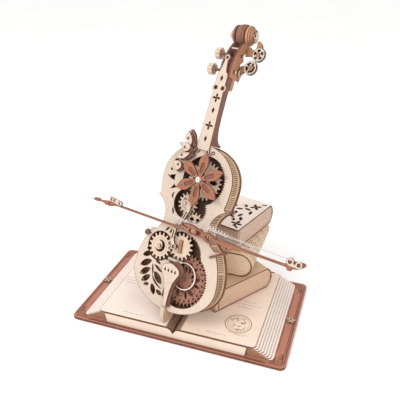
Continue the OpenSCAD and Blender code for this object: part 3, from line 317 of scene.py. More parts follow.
# ---------------------------------------------------------------- CAD nodes
CAD_LOOKS = (
    ("cover_board", RED_BOARD, EDGE_RED, UP), ("cover_studs", TAN, EDGE_DARK, UP),
    ("left_page_sheets", PAGE, STEP, UP), ("right_page_sheets", PAGE, STEP, UP),
    ("left_top_page", PAGE, STEP, UP), ("right_top_page", PAGE_R_SHADED, STEP, UP),
    ("gutter_strips", INNER_SHADED, EDGE_DARK, UP), ("page_fascias", CREAM, BOOK_EDGE, ALONG_Y),
    ("lower_book_pages", PAGES_LOW), ("middle_book_pages", PAGES_MID), ("top_book_pages", PAGES_TOP),
    ("lower_book_cover", TAN_W, BOOK_EDGE, LOW.to_3x3() @ ALONG_Y),
    ("middle_book_cover", TAN_W, BOOK_EDGE, ALONG_Y), ("top_book_base", TAN_W, BOOK_EDGE, UP),
    ("top_book_spine", TAN_W, BOOK_EDGE, TOP.to_3x3() @ ALONG_Y),
    ("top_book_lace_cover", LACE, BOOK_EDGE, UP), ("rear_prop", PALE, EDGE, UP),
    ("back_plate", BACK_SHADED, EDGE, CY), ("front_plate", PALE, EDGE, CY), ("movement_plate", INNER_SHADED, EDGE_DARK, CY),
    ("upper_rib", TAN), ("waist_ribs", TAN), ("lower_rib", TAN),
    ("corner_rods", MAUVE, EDGE_DARK, CY), ("plate_posts", TAN, EDGE, CY),
    ("neck_sides", MAUVE, EDGE_DARK, NX), ("neck_core", MAUVE, EDGE_DARK, NX),
    ("fingerboard", PALE, EDGE, NY), ("pegbox_cheeks", ORANGE, EDGE_RED, NX),
    ("wheel_arms", ORANGE, EDGE_DARK, NY), ("scroll_discs", RED, EDGE_RED, NX),
    ("scroll_caps", PALE, EDGE, NX), ("bow_rocker", PALE, EDGE, CY),
    ("leaf_ornament_dark", MAUVE, EDGE_DARK, CY), ("leaf_ornament_pale", PALE, EDGE, CY),
    ("crescent_ring", IVORY, EDGE, CY), ("tailpiece", PALE, EDGE, TY),
    ("tailpiece_underlay", MAUVE, EDGE_DARK, TY), ("end_foot", TAN, PALE, CX), ("music_movement", STEEL),
    ("bow_pivot_post", RED, EDGE_RED, CY), ("main_gear", RED_GEAR, EDGE_DARK, CY),
    ("crank_gear_front", PALE_B, EDGE_DARK, CY), ("left_gear", PALE_B, EDGE_DARK, CY),
    ("idler_gear", PALE_B, EDGE_DARK, CY), ("upper_idler", PALE_B, EDGE_DARK, CY),
    ("flower_gear", PALE_B, EDGE_DARK, CY), ("drive_link", PALE_B, EDGE_DARK, CY),
    ("crank_arbor", TAN, EDGE_DARK, CY), ("flower", RED, EDGE_RED, CY), ("flower_cap", WHITE, EDGE, CY),
    ("bow_stick", RED, EDGE_RED, CY), ("bow_fittings", PALE, EDGE, CY), ("bow_hair", HAIR),
    ("bow_clear_strip", CLEAR), ("winding_key", PALE, EDGE, CY),
    ("upper_left_peg", PALE, EDGE, NX), ("lower_left_peg", PALE, EDGE, NX),
    ("upper_right_peg", PALE, EDGE_DARK, NY), ("lower_right_peg", PALE, EDGE_DARK, NY),
)
for look in CAD_LOOKS:
    dress(*look)

# open book: burnt grooves, layered page fronts, and shade inside the top book
GROOVE_TOP = 2.95
STUD_FACE = 4.6
repaint("cover_board", LEVEL, BURN, lambda c, n: n.z > 0.7 and c.z < GROOVE_TOP)
repaint("cover_studs", LEVEL, PALE_B, lambda c, n: c.z > STUD_FACE)
for name in ("left_page_sheets", "right_page_sheets"):
    repaint(name, LEVEL, CORE, lambda c, n: abs(n.y) > 0.7)
for name in ("left_top_page", "right_top_page"):
    repaint(name, LEVEL, EDGE, lambda c, n: n.y < -0.7)
repaint("top_book_pages", LEVEL, SHADE, lambda c, n: n.z > 0.7)

# closed books: the covers are wood all round, except at their ends and along the fore-edge
for name, book in (("lower_book_cover", LOW), ("middle_book_cover", MID), ("top_book_spine", TOP)):
    turn = book.to_3x3().inverted()
    for poly in nodes[name].data.polygons:
        n = turn @ poly.normal
        poly.material_index = int(abs(n.y) > 0.7 or n.x < -0.98)

# cello: painted shade inside, paler over the inner plate's lower left part, and the orange bar across the
# front of the crank
LESS_SHADE_BELOW, LESS_SHADE_LEFT_OF = 74, 2
CRANK_FRONT = -1.2
repaint("movement_plate", INTO, INNER_LESS_SHADED, lambda c, n: c.z < LESS_SHADE_BELOW and c.x < LESS_SHADE_LEFT_OF)
repaint("crank_arbor", INTO, ORANGE, lambda c, n: c.y < CRANK_FRONT and n.y < -0.7)

# pegs: dark pins behind the wheels, pale rims on the flower heads
LEFT_HEAD = 4.9
for name, wheel_back in (("upper_right_peg", 18.2), ("lower_right_peg", 15.2)):
    repaint(name, TO_NECK, EDGE_DARK, lambda c, n: c.y > wheel_back)
for name, (y, z) in (("upper_left_peg", (14, 287.6)), ("lower_left_peg", (7.5, 269.2))):
    repaint(name, TO_NECK, PALE_B, lambda c, n: abs(n.x) < 0.7 and math.hypot(c.y - y, c.z - z) > LEFT_HEAD)

# scroll and pegbox: the layers change colour across the neck, and the cheeks' inner faces are painted mauve
# as shade between them
ORANGE_FROM = 6.4
LEFT_CAP, CAP_FROM, CAP_TO = 10.3, 10.2, 13.1
DRUM_Y, DRUM_Z, DRUM_R = 19, 310.5, 5
ROD_Y, ROD_Z, ROD_R = 8.6, 293.4, 1.2
CHEEK_INNER = 4.4
repaint("scroll_discs", TO_NECK, MAUVE, lambda c, n: c.x < -ORANGE_FROM)
repaint("scroll_discs", TO_NECK, ORANGE, lambda c, n: c.x > ORANGE_FROM)
repaint("scroll_discs", TO_NECK, SCROLL_M, lambda c, n: abs(n.x) < 0.7 and c.x <= ORANGE_FROM)
repaint("scroll_discs", TO_NECK, SCROLL_O, lambda c, n: abs(n.x) < 0.7 and c.x > ORANGE_FROM)
repaint("scroll_caps", TO_NECK, ORANGE, lambda c, n: (
    CAP_FROM < c.x < CAP_TO and math.hypot(c.y - DRUM_Y, c.z - DRUM_Z) > DRUM_R))
repaint("scroll_caps", TO_NECK, PALE_B, lambda c, n: c.x < -LEFT_CAP)
# Painted shade: mauve on the inner faces of the pegbox cheeks, where the gap between them lies in shadow
repaint("pegbox_cheeks", TO_NECK, MAUVE, lambda c, n: abs(abs(c.x) - CHEEK_INNER) < 0.05 and abs(n.x) > 0.7)
repaint("pegbox_cheeks", TO_NECK, PALE_B, lambda c, n: (
    abs(c.x) < CHEEK_INNER - 0.1 and math.hypot(c.y - ROD_Y, c.z - ROD_Z) < ROD_R))

# ---------------------------------------------------------------- engraved and printed marks


def solid(name, verts, faces, body, mat):
    mesh = bpy.data.meshes.new(name)
    mesh.from_pydata([tuple(v) for v in verts], [], faces)
    mesh.validate()
    mesh.materials.append(mat)
    o = bpy.data.objects.new(name, mesh)
    bpy.context.scene.collection.objects.link(o)
    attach(o, body)
    return o


def strokes(name, lines, frame_matrix, body, mat, width=0.35, height=0.05, sink=0.02):
    """Thin raised ribbons along lines of (u, v) in millimetres, on the u-v plane of a local frame."""
    verts, faces = [], []
    for line in lines:
        line, wide = line if isinstance(line, tuple) else (line, width)
        pts = [Vector((p[0], p[1], 0)) for p in line]
        base = len(verts)
        for i, p in enumerate(pts):
            a = pts[max(0, i - 1)]
            b = pts[min(len(pts) - 1, i + 1)]
            along = (b - a).normalized() if (b - a).length > 1e-6 else Vector((1, 0, 0))
            side = Vector((-along.y, along.x, 0)) * (wide / 2)
            for q, h in ((p + side, height), (p - side, height), (p - side, -sink), (p + side, -sink)):
                verts.append(frame_matrix @ (Vector((q.x, q.y, h)) * MM))
        for i in range(len(pts) - 1):
            a, b = base + 4 * i, base + 4 * (i + 1)
            faces += [(a, a + 1, b + 1, b), (a + 1, a + 2, b + 2, b + 1), (a + 2, a + 3, b + 3, b + 2),
                      (a + 3, a, b, b + 3)]
        last = base + 4 * (len(pts) - 1)
        faces += [(base, base + 3, base + 2, base + 1), (last, last + 1, last + 2, last + 3)]
    return solid(name, verts, faces, body, mat)


def circle(cx, cy, r, a0=0.0, a1=360.0, n=48):
    """Arc from angle a0 to a1, or a full circle."""
    angles = [math.radians(a0 + (a1 - a0) * i / n) for i in range(n + 1)]
    return [(cx + r * math.cos(a), cy + r * math.sin(a)) for a in angles]


def curl(cx, cy, r0, r1, a0, turns, n=26):
    """Spiral line from radius r0 to radius r1."""
    out = []
    for i in range(n + 1):
        f = i / n
        r = r0 + (r1 - r0) * f
        a = math.radians(a0 + 360 * turns * f)
        out.append((cx + r * math.cos(a), cy + r * math.sin(a)))
    return out


def spun(points, centre, degrees):
    """Points turned about the origin, then moved to a centre."""
    ca, sa = math.cos(math.radians(degrees)), math.sin(math.radians(degrees))
    return [(centre[0] + u * ca - v * sa, centre[1] + u * sa + v * ca) for u, v in points]


def scribble(x0, x1, y, tall):
    """A line of generic looped handwriting: waves broken into word lengths."""
    out = []
    x = x0
    while x < x1 - 1.2:
        word = min(random.uniform(3.0, 7.5), x1 - x)
        n = max(6, int(word * 3.2))
        phase = random.uniform(0, 6)
        pts = []
        for i in range(n + 1):
            u = x + word * i / n
            pts.append((u, y + tall * 0.5 * math.sin(phase + i * 1.9) * random.uniform(0.35, 1.0)))
        out.append(pts)
        x += word + random.uniform(0.9, 1.6)
    return out


def flat(z):
    """Level plane at height z, u to the right and v to the back."""
    return shift(0, 0, z)


def facing(local, y):
    """Plane in front of a leaning sheet: u right, v up along it, outward toward the front."""
    return local @ shift(0, y, 0) @ turned(90, "X")


# ---------------------------------------------------------------- outlines of the CAD's flat faces
SHORTEST_SIDE = 0.04 * MM
GAP, RISE, SINK = 0.02, 0.03, 0.02
OUTER_BAND = 0.8
KEY_HOLE, KEY_HOLE_R = (10, 47), 6
RIB_FRONT, RIB_BACK = 5.4, 15.0
TICK_PITCH, TICK_HALF, TICK_IN, TICK_OUT = 2.2, 0.42, 1.36, 1.44
TICKS_FROM, TICKS_TO, CLEAR_OF_SLOTS = 30, 178, 3.0


def loops(node, way):
    """Closed outlines of a node's flat faces that look one way, as points in metres."""
    mesh = nodes[node].data
    sides = {}
    for poly in mesh.polygons:
        if poly.normal.dot(way) > 0.95:
            v = list(poly.vertices)
            for i in range(len(v)):
                sides[(v[i], v[(i + 1) % len(v)])] = True
    step = {a: b for a, b in sides if (b, a) not in sides}
    out = []
    while step:
        first = next(iter(step))
        ring, at = [], first
        while at in step:
            ring.append(at)
            at = step.pop(at)
        if at == first and len(ring) > 2:
            out.append([mesh.vertices[i].co.copy() for i in ring])
    return out


OUTLINE = [INTO @ p / MM for p in sorted(loops("back_plate", -CY), key=len)[-1]]


def char_line(node, way, mat, width):
    """Narrow scorched border inside every cut edge of a flat face."""
    verts, faces = [], []
    for ring in loops(node, way):
        ring = [p for i, p in enumerate(ring) if (p - ring[i - 1]).length > SHORTEST_SIDE]
        n = len(ring)
        if n < 3:
            continue
        base = len(verts)
        for i, p in enumerate(ring):
            a, b = (p - ring[i - 1]).normalized(), (ring[(i + 1) % n] - p).normalized()
            inward = way.cross(a) + way.cross(b)
            inward = inward.normalized() if inward.length > 0.2 else way.cross(b)
            for inset, rise in ((GAP, RISE), (width, RISE), (width, -SINK), (GAP, -SINK)):
                verts.append(p + (inward * inset + way * rise) * MM)
        for i in range(n):
            p, q = base + 4 * i, base + 4 * ((i + 1) % n)
            faces += [(p + k, q + k, q + (k + 1) % 4, p + (k + 1) % 4) for k in range(4)]
    name = node + ("_rear" if way.dot(CY) > 0.9 else "") + "_scorch"
    return solid(name, verts, faces, BODY_OF[node], mat)


def from_outline(x, z, rim):
    """Distance in millimetres from the body's outline."""
    return min(math.hypot(x - cx, z - cz) for cx, cz in rim)


def scorch_and_shade_inner_cuts():
    """The front plate's inner cut walls are burnt and carry painted shade, so they are darker than its outer
    edge.
    """
    rim = []
    for poly in nodes["back_plate"].data.polygons:
        if abs(poly.normal.dot(CY)) < 0.7:
            at = INTO @ poly.center / MM
            if math.hypot(at.x - KEY_HOLE[0], at.z - KEY_HOLE[1]) > KEY_HOLE_R:
                rim.append((at.x, at.z))
    front = nodes["front_plate"].data
    front.materials.append(EDGE_DARK)
    for poly in front.polygons:
        at = INTO @ poly.center / MM
        if poly.material_index == 1 and from_outline(at.x, at.z, rim) > OUTER_BAND:
            poly.material_index = 2


def outline_way(x, z):
    """Direction along the body's outline at its nearest point."""
    best = min(range(len(OUTLINE)), key=lambda i: (OUTLINE[i].x - x) ** 2 + (OUTLINE[i].z - z) ** 2)
    a, b = OUTLINE[best - 1], OUTLINE[(best + 1) % len(OUTLINE)]
    return (b - a).normalized()


def darken_slots():
    """The walls of the ribs' hinge slots are burnt and carry painted shade; gives back where the slots are.
    """
    slots = []
    turn = INTO.to_3x3()
    for name in ("upper_rib", "waist_ribs", "lower_rib"):
        mesh = nodes[name].data
        mesh.materials.append(EDGE_DARK)
        for poly in mesh.polygons:
            c, n = INTO @ poly.center / MM, turn @ poly.normal
            inside_rib = RIB_FRONT - 0.1 < c.y < RIB_BACK + 0.1
            if abs(n.y) < 0.5 and inside_rib and abs(n.dot(outline_way(c.x, c.z))) > 0.75:
                poly.material_index = 1
                slots.append((c.x, c.z))
    return slots


def rib_ticks(slots):
    """Short burnt cuts across the ribs wherever the hinge slots stop, darkened with painted shade as well."""
    verts, faces = [], []
    section = ((-TICK_HALF, TICK_IN), (TICK_HALF, TICK_IN), (TICK_HALF, TICK_OUT), (-TICK_HALF, TICK_OUT))
    run = 0.0
    for i, p in enumerate(OUTLINE):
        q = OUTLINE[(i + 1) % len(OUTLINE)]
        length = (q - p).length
        along = (q - p) / max(length, 1e-6)
        into = Vector((0, -1, 0)).cross(along)
        while run < length:
            at = p + along * run
            run += TICK_PITCH
            free = all(math.hypot(at.x - x, at.z - z) >= CLEAR_OF_SLOTS for x, z in slots)
            if not (TICKS_FROM < at.z < TICKS_TO and free):
                continue
            base = len(verts)
            for y in (RIB_FRONT, RIB_BACK):
                for t, d in section:
                    v = at + along * t + into * d
                    verts.append(CELLO @ (Vector((v.x, y, v.z)) * MM))
            faces += [(base, base + 1, base + 2, base + 3), (base + 7, base + 6, base + 5, base + 4)]
            faces += [(base + k, base + 4 + k, base + 4 + (k + 1) % 4, base + (k + 1) % 4) for k in range(4)]
        run -= length
    return verts, faces


scorch_and_shade_inner_cuts()
solid("rib_ticks", *rib_ticks(darken_slots()), "model", EDGE_DARK)

BOARD_TOP = flat(3.0)
PAGE_TOP = flat(15.0)

# cover board: fretwork in the four corners, and lines inside the border
CORNER_X, CORNER_Y = 112.0, 64.6
CORNER = [
    curl(0, 0, 0.4, 2.5, 20, 1.4), curl(-4.0, 3.2, 0.3, 1.6, 200, 1.2), curl(1.8, 4.6, 0.3, 1.5, 100, -1.3),
    curl(-4.6, -1.2, 0.3, 1.2, 0, 1.2), curl(1.9, 8.4, 0.3, 1.1, 90, 1.2), [(3.2, -3.2), (3.2, 12.0)],
    [(3.2, -3.2), (-8.0, -3.2)], [(-8.0, -3.2), (-6.4, -0.4), (-7.0, 1.4)],
    [(3.2, 12.0), (0.8, 10.6), (-0.4, 11.4)],
    [(-2.6, 5.6), (-0.6, 3.4), (0.4, 6.6), (-0.8, 8.6)], [(-6.0, 1.6), (-3.4, 0.4), (-2.2, -1.6)],
]
# straight border lines as (distance from the middle, from, to), with an arc beside each stud
SIDE_LINES = ((116.2, -50.0, 50.0), (118.2, -66.0, 66.0), (108.4, -48.0, -8.0), (108.4, 8.0, 48.0))
CROSS_LINES = ((70.6, -100.0, 100.0), (69.2, -98.0, 98.0))
STUD_X, STUD_ARC = 113.0, 5.6
fretwork, borders = [], []
for side in (-1, 1):
    for end in (-1, 1):
        cx, cy = side * CORNER_X, end * CORNER_Y
        fretwork += [[(cx + side * u, cy - end * v) for u, v in line] for line in CORNER]
    borders += [[(side * x, start), (side * x, stop)] for x, start, stop in SIDE_LINES]
    borders += [[(start, side * y), (stop, side * y)] for y, start, stop in CROSS_LINES]
    borders.append(circle(side * STUD_X, 0, STUD_ARC, 90 - side * 62, 152 if side > 0 else 332, 20))
strokes("board_fretwork", fretwork, BOARD_TOP, "model", EDGE_DARK, 0.66)
strokes("board_inner_lines", borders, BOARD_TOP, "model", BURN, 0.6)

# pages: writing-like scribbles as (height on the page, from, to), and a seal
PARAGRAPHS = (
    (0.5, -86, -64), (-4.2, -85, -62), (-9.0, -83, -66), (2.0, 50, 76), (-3.2, 51, 79), (-8.4, 54, 73))
FOOT_LINES = ((-58.5, -62, -38), (-58.5, 33, 56), (-51.5, 56, 78), (-53.6, 62, 74))
writing = []
for rows, tall in ((PARAGRAPHS, 1.0), (FOOT_LINES, 0.7)):
    for y, start, end in rows:
        writing += scribble(start, end, y, tall)
strokes("page_scribbles", writing, PAGE_TOP, "model", LINE_OLIVE, 0.34, 0.03)
SEAL_X, SEAL_Y = 62.9, -36.6
rims = [(circle(SEAL_X, SEAL_Y, 14.0, n=72), 1.2), (circle(SEAL_X, SEAL_Y, 11.6, n=72), 0.5)]
strokes("page_seal_rings", rims, PAGE_TOP, "model", LINE_GOLD, 0.5, 0.03)
figure = []
for i in range(26):
    a = math.radians(random.uniform(0, 360))
    r = random.uniform(3.2, 10.6)
    size, start, turns = random.uniform(0.8, 1.7), random.uniform(0, 360), random.choice((-0.8, 0.7, 0.9))
    figure.append(curl(SEAL_X + r * math.cos(a), SEAL_Y + r * math.sin(a), 0.3, size, start, turns, 12))
figure += [circle(SEAL_X, SEAL_Y, 9.2, 200, 330, 20), circle(SEAL_X, SEAL_Y, 8.4, 20, 150, 20)]
figure.append(circle(SEAL_X, SEAL_Y + 1, 5.0, 190, 300, 14))
strokes("page_seal_figure", figure, PAGE_TOP, "model", LINE_OLIVE, 0.42, 0.035)

# gutter: pale lines along the treads of the dark hinge strips, as (across, height)
TREADS = ((7.35, 14.47), (5.7, 13.08), (4.0, 11.68), (2.3, 10.28))
for k, (x, z) in enumerate(TREADS, 1):
    treads = [[(side * (x + dx), -65.8), (side * (x + dx), 65.8)] for side in (-1, 1) for dx in (-0.42, 0.32)]
    strokes(f"gutter_lines_{k}", treads, flat(z), "model", TAN_W, 0.24, 0.22, 0.1)

# How deep each decorated face lies, in millimetres: negative is in front of the plate or sheet it stands on
PLATE_Y, DRIVE_Y, ROCKER_Y, LINK_Y, LEAF_Y = 0, 6, -2.3, -6, -6
FLOWER_Y, INLAY_Y, CAP_Y = -9, -8.4, -10.4
FINGERBOARD_Y, TAILPIECE_Y = -2, -2
SHEET_Y, STICK_Y, FITTING_Y = -7.78, -11, -12.7

# front plate: faint engraved arcs beside the openings, and the curl beside the neck
PLATE_FACE = facing(CELLO, PLATE_Y)
strokes("front_plate_engraving", [
    circle(0, 152, 39.5, 118, 158, 30), [(-5.5, 17.4), (-2.0, 15.6), (3.0, 15.2), (8.0, 16.4)],
    [(9.6, 17.2), (12.4, 16.8), (14.6, 18.6)], curl(-24.0, 20.6, 0.4, 1.8, 30, 0.8),
    circle(-30, 22.6, 4.2, 210, 290, 12), curl(27.6, 122.0, 0.4, 2.0, 200, 0.8),
    circle(31.4, 131.0, 6.0, 10, 70, 12), curl(36.4, 172.6, 0.3, 1.2, 0, 0.9),
    circle(0, 48, 48.6, 196, 216, 16), circle(3, 50, 46.0, 300, 322, 14),
], PLATE_FACE, "model", LINE, 0.22, 0.03)
strokes("plate_curl", [curl(12.9, 182.7, 0.7, 2.3, 210, 1.05), [(10.8, 181.9), (9.2, 179.4), (8.5, 176.4)]],
        PLATE_FACE, "model", EDGE_DARK, 1.25, 0.05)

# scorched borders along the laser cuts
SCORCHED = (
    ("front_plate", -CY, EDGE, 0.34), ("back_plate", -CY, EDGE, 1.25), ("back_plate", CY, EDGE, 0.34),
    ("left_gear", -CY, EDGE_DARK, 0.26), ("crank_gear_front", -CY, EDGE_DARK, 0.26),
    ("idler_gear", -CY, EDGE_DARK, 0.26), ("upper_idler", -CY, EDGE_DARK, 0.26),
    ("flower_gear", -CY, EDGE_DARK, 0.26), ("main_gear", -CY, EDGE_DARK, 0.34),
    ("flower", -CY, EDGE_RED, 0.3), ("drive_link", -CY, EDGE_DARK, 0.3),
    ("bow_rocker", -CY, EDGE_DARK, 0.26), ("bow_stick", -CY, EDGE_RED, 0.36),
    ("bow_fittings", -CY, EDGE, 0.2), ("leaf_ornament_pale", -CY, EDGE_DARK, 0.34),
    ("leaf_ornament_dark", -CY, EDGE_DARK, 0.4), ("fingerboard", -NY, EDGE, 0.34),
    ("tailpiece", -TY, EDGE, 0.34), ("top_book_lace_cover", UP, BOOK_EDGE, 0.45),
    ("end_foot", -CX, EDGE, 0.4), ("left_top_page", UP, LINE_GOLD, 0.5),
    ("right_top_page", UP, LINE_GOLD, 0.5), ("upper_right_peg", -NY, EDGE_DARK, 0.3),
    ("lower_right_peg", -NY, EDGE_DARK, 0.3), ("wheel_arms", -NY, EDGE_DARK, 0.34),
    ("cover_studs", UP, EDGE_DARK, 0.26), ("upper_left_peg", -NX, EDGE, 0.4),
    ("lower_left_peg", -NX, EDGE, 0.4), ("scroll_caps", NX, EDGE_DARK, 0.4),
    ("scroll_discs", NX, EDGE_RED, 0.4), ("pegbox_cheeks", NX, EDGE_RED, 0.4),
    ("neck_sides", NX, EDGE_DARK, 0.4), ("page_fascias", -ALONG_Y, BOOK_EDGE, 0.4),
)
for border in SCORCHED:
    char_line(*border)

# gear faces
crank, drive, left = hub("crank"), hub("drive_gear"), hub("left_front_gear")
idler_top, bloom = hub("upper_idler"), hub("flower")
DRIVE_FACE, FLOWER_FACE, INLAY_FACE = facing(CELLO, DRIVE_Y), facing(CELLO, FLOWER_Y), facing(CELLO, INLAY_Y)
strokes("left_gear_rings", [circle(*left, 2.5), circle(*left, 3.6, 150, 330, 24), circle(*left, 8.8)],
        PLATE_FACE, "left_front_gear", LINE, 0.28, 0.03)
CRANK_BAR = ((-2.2, -7), (2.2, -7), (2.2, 7), (-2.2, 7), (-2.2, -7))
CRANK_TILT = 4
strokes("crank_bar_edges", [spun(CRANK_BAR, crank, CRANK_TILT)], PLATE_FACE, "crank", EDGE, 0.4, 0.05)
SECTOR = (
    (curl(14.6, 0.6, 0.8, 4.4, 40, 1.25, 34), 0.95), (curl(16.5, 0, 0.5, 3.2, 40, 1.1), 0.6),
    (curl(11.2, -2.4, 0.4, 2.0, 200, -1.0), 0.6), (curl(21.0, 3.6, 0.3, 1.5, 90, 1.0), 0.6),
    (((6.0, 1.4), (9.0, 3.8), (13.4, 4.6), (18.2, 4.6)), 0.6),
    (((8.0, -3.8), (13.0, -5.4), (18.6, -3.0), (20.6, -0.4)), 0.6),
)
SECTOR_TURN = 22
filigree = [(spun(line, drive, 60 * k + SECTOR_TURN), wide) for k in range(6) for line, wide in SECTOR]
strokes("drive_gear_filigree", filigree, DRIVE_FACE, "drive_gear", BURN, 0.72, 0.04)
strokes("drive_gear_rim_line", [circle(*drive, 25.1, n=96)], DRIVE_FACE, "drive_gear", BURN, 0.3, 0.04)

# flower: burnt outline round each inlay, and a midrib toward the tip
PETAL_TURN = 27
INLAY_RIM = (
    (8.6, -1.9), (16.4, -1.9), (17.6, -1.4), (18.1, 0), (17.6, 1.4), (16.4, 1.9), (8.6, 1.9), (7.4, 1.3),
    (6.9, 0), (7.4, -1.3), (8.6, -1.9))
MIDRIB = ((19.6, 0), (22.4, 0.1), (24.6, 0))
INLAY_LINE = ((8.8, -0.8), (15.4, -0.8), (16.2, 0), (15.4, 0.8), (8.8, 0.8))
petals = [PETAL_TURN + 60 * k for k in range(6)]
strokes("petal_outlines", [spun(line, bloom, a) for a in petals for line in (INLAY_RIM, MIDRIB)], FLOWER_FACE,
        "flower", BURN, 0.5, 0.04)
strokes("petal_inlay_lines", [spun(INLAY_LINE, bloom, a) for a in petals], INLAY_FACE, "flower",
        BURN, 0.3, 0.04)
nodes["flower"].data.materials.append(RED_DARK)
for poly in nodes["flower"].data.polygons:
    if poly.material_index == 0 and abs((INTO @ poly.center / MM).y - INLAY_Y) < 0.05:
        poly.material_index = 2
strokes("flower_cap_ring", [circle(*bloom, 1.5, n=24), circle(*bloom, 2.5, n=32)], facing(CELLO, CAP_Y),
        "flower", GREY_LINE, 0.24, 0.03)

# rocker and link: rings round their pins
CRANK_THROW, CRANK_REST = 5.5, math.radians(192)
pin = (crank[0] + CRANK_THROW * math.cos(CRANK_REST), crank[1] + CRANK_THROW * math.sin(CRANK_REST))
strokes("rocker_rosette", [circle(*idler_top, 2.4, n=28), circle(*idler_top, 3.5, n=28)],
        facing(CELLO, ROCKER_Y), "rocker", LINE, 0.26, 0.03)
strokes("link_rosette", [circle(*pin, 2.5, n=28)], facing(CELLO, LINK_Y), "link", LINE, 0.3, 0.03)

# leaf ornament: a curled vein on each pale leaf
strokes("leaf_veins", [
    curl(-18.0, 192.6, 1.3, 2.0, 0, 0.9), [(-16.4, 195.4), (-17.4, 198.0), (-18.6, 199.8)],
    curl(-20.0, 182.8, 1.4, 2.2, 200, 0.8), [(-22.6, 183.6), (-25.0, 185.0), (-27.0, 185.8)],
    [(-18.6, 181.0), (-16.0, 181.4), (-13.6, 183.2)], [(-24.0, 172.6), (-27.2, 171.6)],
    [(-20.0, 175.6), (-16.0, 177.0)], curl(-21.4, 174.2, 1.3, 1.8, 90, 0.8),
    curl(-23.0, 163.6, 1.3, 2.2, 20, 0.85), [(-24.6, 159.6), (-27.0, 161.2), (-28.2, 164.0)],
], facing(CELLO, LEAF_Y), "model", EDGE, 0.34, 0.04)

# fingerboard: rings round the two holes, an arc beside each foot notch and a ring near the nut
BOARD_FACE = facing(NECK, FINGERBOARD_Y)
strokes("fingerboard_rings", [circle(-4.2, 249.4, 2.1, n=28), circle(4.2, 249.4, 2.1, n=28)], BOARD_FACE,
        "model", EDGE, 0.7, 0.04)
strokes("fingerboard_lines", [
    circle(6.3, 183.2, 2.0, 60, 290, 20), circle(-6.3, 183.2, 2.0, -110, 120, 20),
    circle(0.2, 281, 2.4, n=28),
], BOARD_FACE, "model", LINE, 0.3, 0.03)

# tailpiece: generic flourish
strokes("tailpiece_flourish", [
    curl(2.4, 43.0, 0.4, 1.8, 160, 0.8), [(-1.8, 42.0), (0.4, 41.0), (1.6, 41.8)],
    [(-0.8, 30.0), (0.2, 28.8), (1.2, 29.4)],
], facing(TAIL, TAILPIECE_Y), "model", LINE, 0.24, 0.03)

# bow: marks on the clear sheet, painted highlights along its edges, and lines cut into the stick
SHEET_FACE, STICK_FACE, FITTING_FACE = facing(BOW, SHEET_Y), facing(BOW, STICK_Y), facing(BOW, FITTING_Y)
# White lines along the clear sheet's edges: painted highlights
strokes("clear_sheet_rim_highlight", [
    [(-46.8, 0.4), (-46.8, 6), (-34, 8), (-18, 8.4), (-4, 10), (8, 12.2)],
    [(36, 3.2), (60, 2.2), (74.8, 1.2)],
], SHEET_FACE, "bow", WHITE, 0.16, 0.06)
zigzag = []
for i in range(14):
    rise = 2.1 * (1 if i % 2 else -1) * (0.8 + 0.2 * math.sin(2.3 * i))
    zigzag.append((12.4 + 1.75 * i, 8.6 - 0.16 * i + rise))
strokes("bow_white_marks", [zigzag], SHEET_FACE, "bow", WHITE, 0.9, 0.05)
strokes("bow_black_marks", [
    [(40.5, 4.0), (42.0, 3.4), (43.4, 4.2), (45.0, 3.4)],
    [(46.4, 3.0), (48.0, 4.2), (49.6, 3.0), (51.0, 4.0)],
    [(52.4, 2.6), (54.6, 4.0), (55.4, 2.6), (57.2, 3.8), (58.4, 2.6), (60.2, 3.4), (61.6, 2.6)],
    [(53.0, 3.0), (61.0, 2.8)],
], SHEET_FACE, "bow", INK, 0.42, 0.05)
strokes("bow_stick_lines", [
    [(-100, -0.9), (-22, -0.9)], [(60, -0.9), (97, -0.9)],
    [(-17.6, 1.4), (-14.0, 5.0), (-9.0, 6.1), (-5.4, 5.2)], [(9.8, -2.0), (13.0, -3.6)],
    [(-16.4, -0.4), (-10.0, -2.6), (-3.6, -2.8)],
    [(9.0, 1.6), (10.0, 0.8), (16.0, 3.4), (22.0, 2.6), (25.6, -0.6)],
    [(25.6, -0.8), (24.0, -4.6), (20.6, -6.0), (14.0, -4.2)],
    [(28.0, -1.4), (34.0, -0.9), (42.0, -0.7), (52.0, -1.6)],
    [(-141.6, -2.2), (-138.4, -2.0)], [(-126, -1.6), (-118, -2.8), (-112, -1.2)],
], STICK_FACE, "bow", EDGE_RED, 0.34, 0.04)
strokes("bow_fitting_rings", [
    circle(-116.0, 4.2, 1.75, n=20), circle(-111.4, 3.65, 1.75, n=20), circle(-103.0, 2.2, 2.2, n=24),
], FITTING_FACE, "bow", EDGE_DARK, 0.36, 0.04)

# closed books: a dark line where the pages meet the cover's fold
strokes("low_book_corner", [[(5.2, 1.8), (5.2, 24.6)]], facing(LOW, 0), "model", EDGE_DARK, 0.7, 0.06)
strokes("top_book_corner", [[(3.6, 1.8), (3.6, 22.2)]], facing(TOP, 0), "model", EDGE, 0.5, 0.06)

# ---------------------------------------------------------------- floor, light and camera
scene = bpy.context.scene


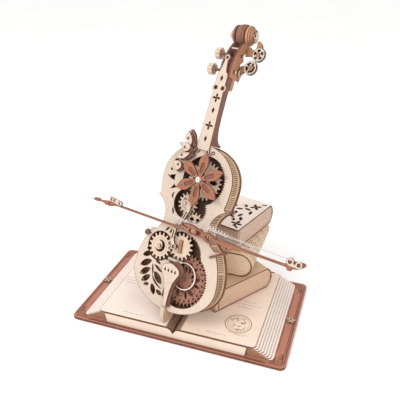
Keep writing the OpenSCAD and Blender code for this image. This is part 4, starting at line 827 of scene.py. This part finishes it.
def quad(name, pts):
    mesh = bpy.data.meshes.new(name)
    mesh.from_pydata(pts, [], [(0, 1, 2, 3)])
    o = bpy.data.objects.new(name, mesh)
    scene.collection.objects.link(o)
    return o


FLOOR_HALF, FLOOR_Z = 6, -0.0002
CORNERS = ((-1, -1), (1, -1), (1, 1), (-1, 1))
floor = quad("floor", [(FLOOR_HALF * x, FLOOR_HALF * y, FLOOR_Z) for x, y in CORNERS])
floor_mat, floor_tree, floor_shader = material("floor_white")
mottle = noise(floor_tree, space(floor_tree, (0, 0, 0), (1, 1, 1)), 3, 2, 0.5)
floor_tone = ramp(floor_tree, mottle, [(0.3, grey(0.97)), (0.7, grey(0.99))])
floor_tree.links.new(floor_tone, floor_shader.inputs["Base Color"])
floor_shader.inputs["Roughness"].default_value = 0.9
floor.data.materials.append(floor_mat)

world = bpy.data.worlds.new("studio")
scene.world = world
world.use_nodes = True
world.node_tree.nodes["Background"].inputs["Color"].default_value = (1.0, 0.995, 0.99, 1)
world.node_tree.nodes["Background"].inputs["Strength"].default_value = 1.0


def area(name, at, to, size, power):
    """Round soft light at one place, turned toward another."""
    data = bpy.data.lights.new(name, "AREA")
    data.shape, data.size, data.energy = "DISK", size, power
    o = bpy.data.objects.new(name, data)
    o.location = at
    o.rotation_euler = (Vector(to) - Vector(at)).to_track_quat("-Z", "Y").to_euler()
    scene.collection.objects.link(o)
    return o


area("key", (-0.5, -0.7, 1.15), (0, 0, 0.1), 0.55, 6.0)
area("fill", (0.9, -0.5, 0.6), (0, 0, 0.12), 0.9, 1.5)

cam_data = bpy.data.cameras.new("camera")
cam_data.sensor_width = 36
cam_data.lens = 45
cam_data.clip_end = 20
cam = bpy.data.objects.new("camera", cam_data)
eye = Vector((160.6, -438.2, 375.5)) * MM
back = Vector((0.2942, -0.8382, 0.4591)).normalized()
right = UP.cross(back).normalized()
up = back.cross(right)
cam.matrix_world = Matrix.Translation(eye) @ Matrix((right, up, back)).transposed().to_4x4()
scene.collection.objects.link(cam)
scene.camera = cam
scene.view_settings.view_transform = "Standard"
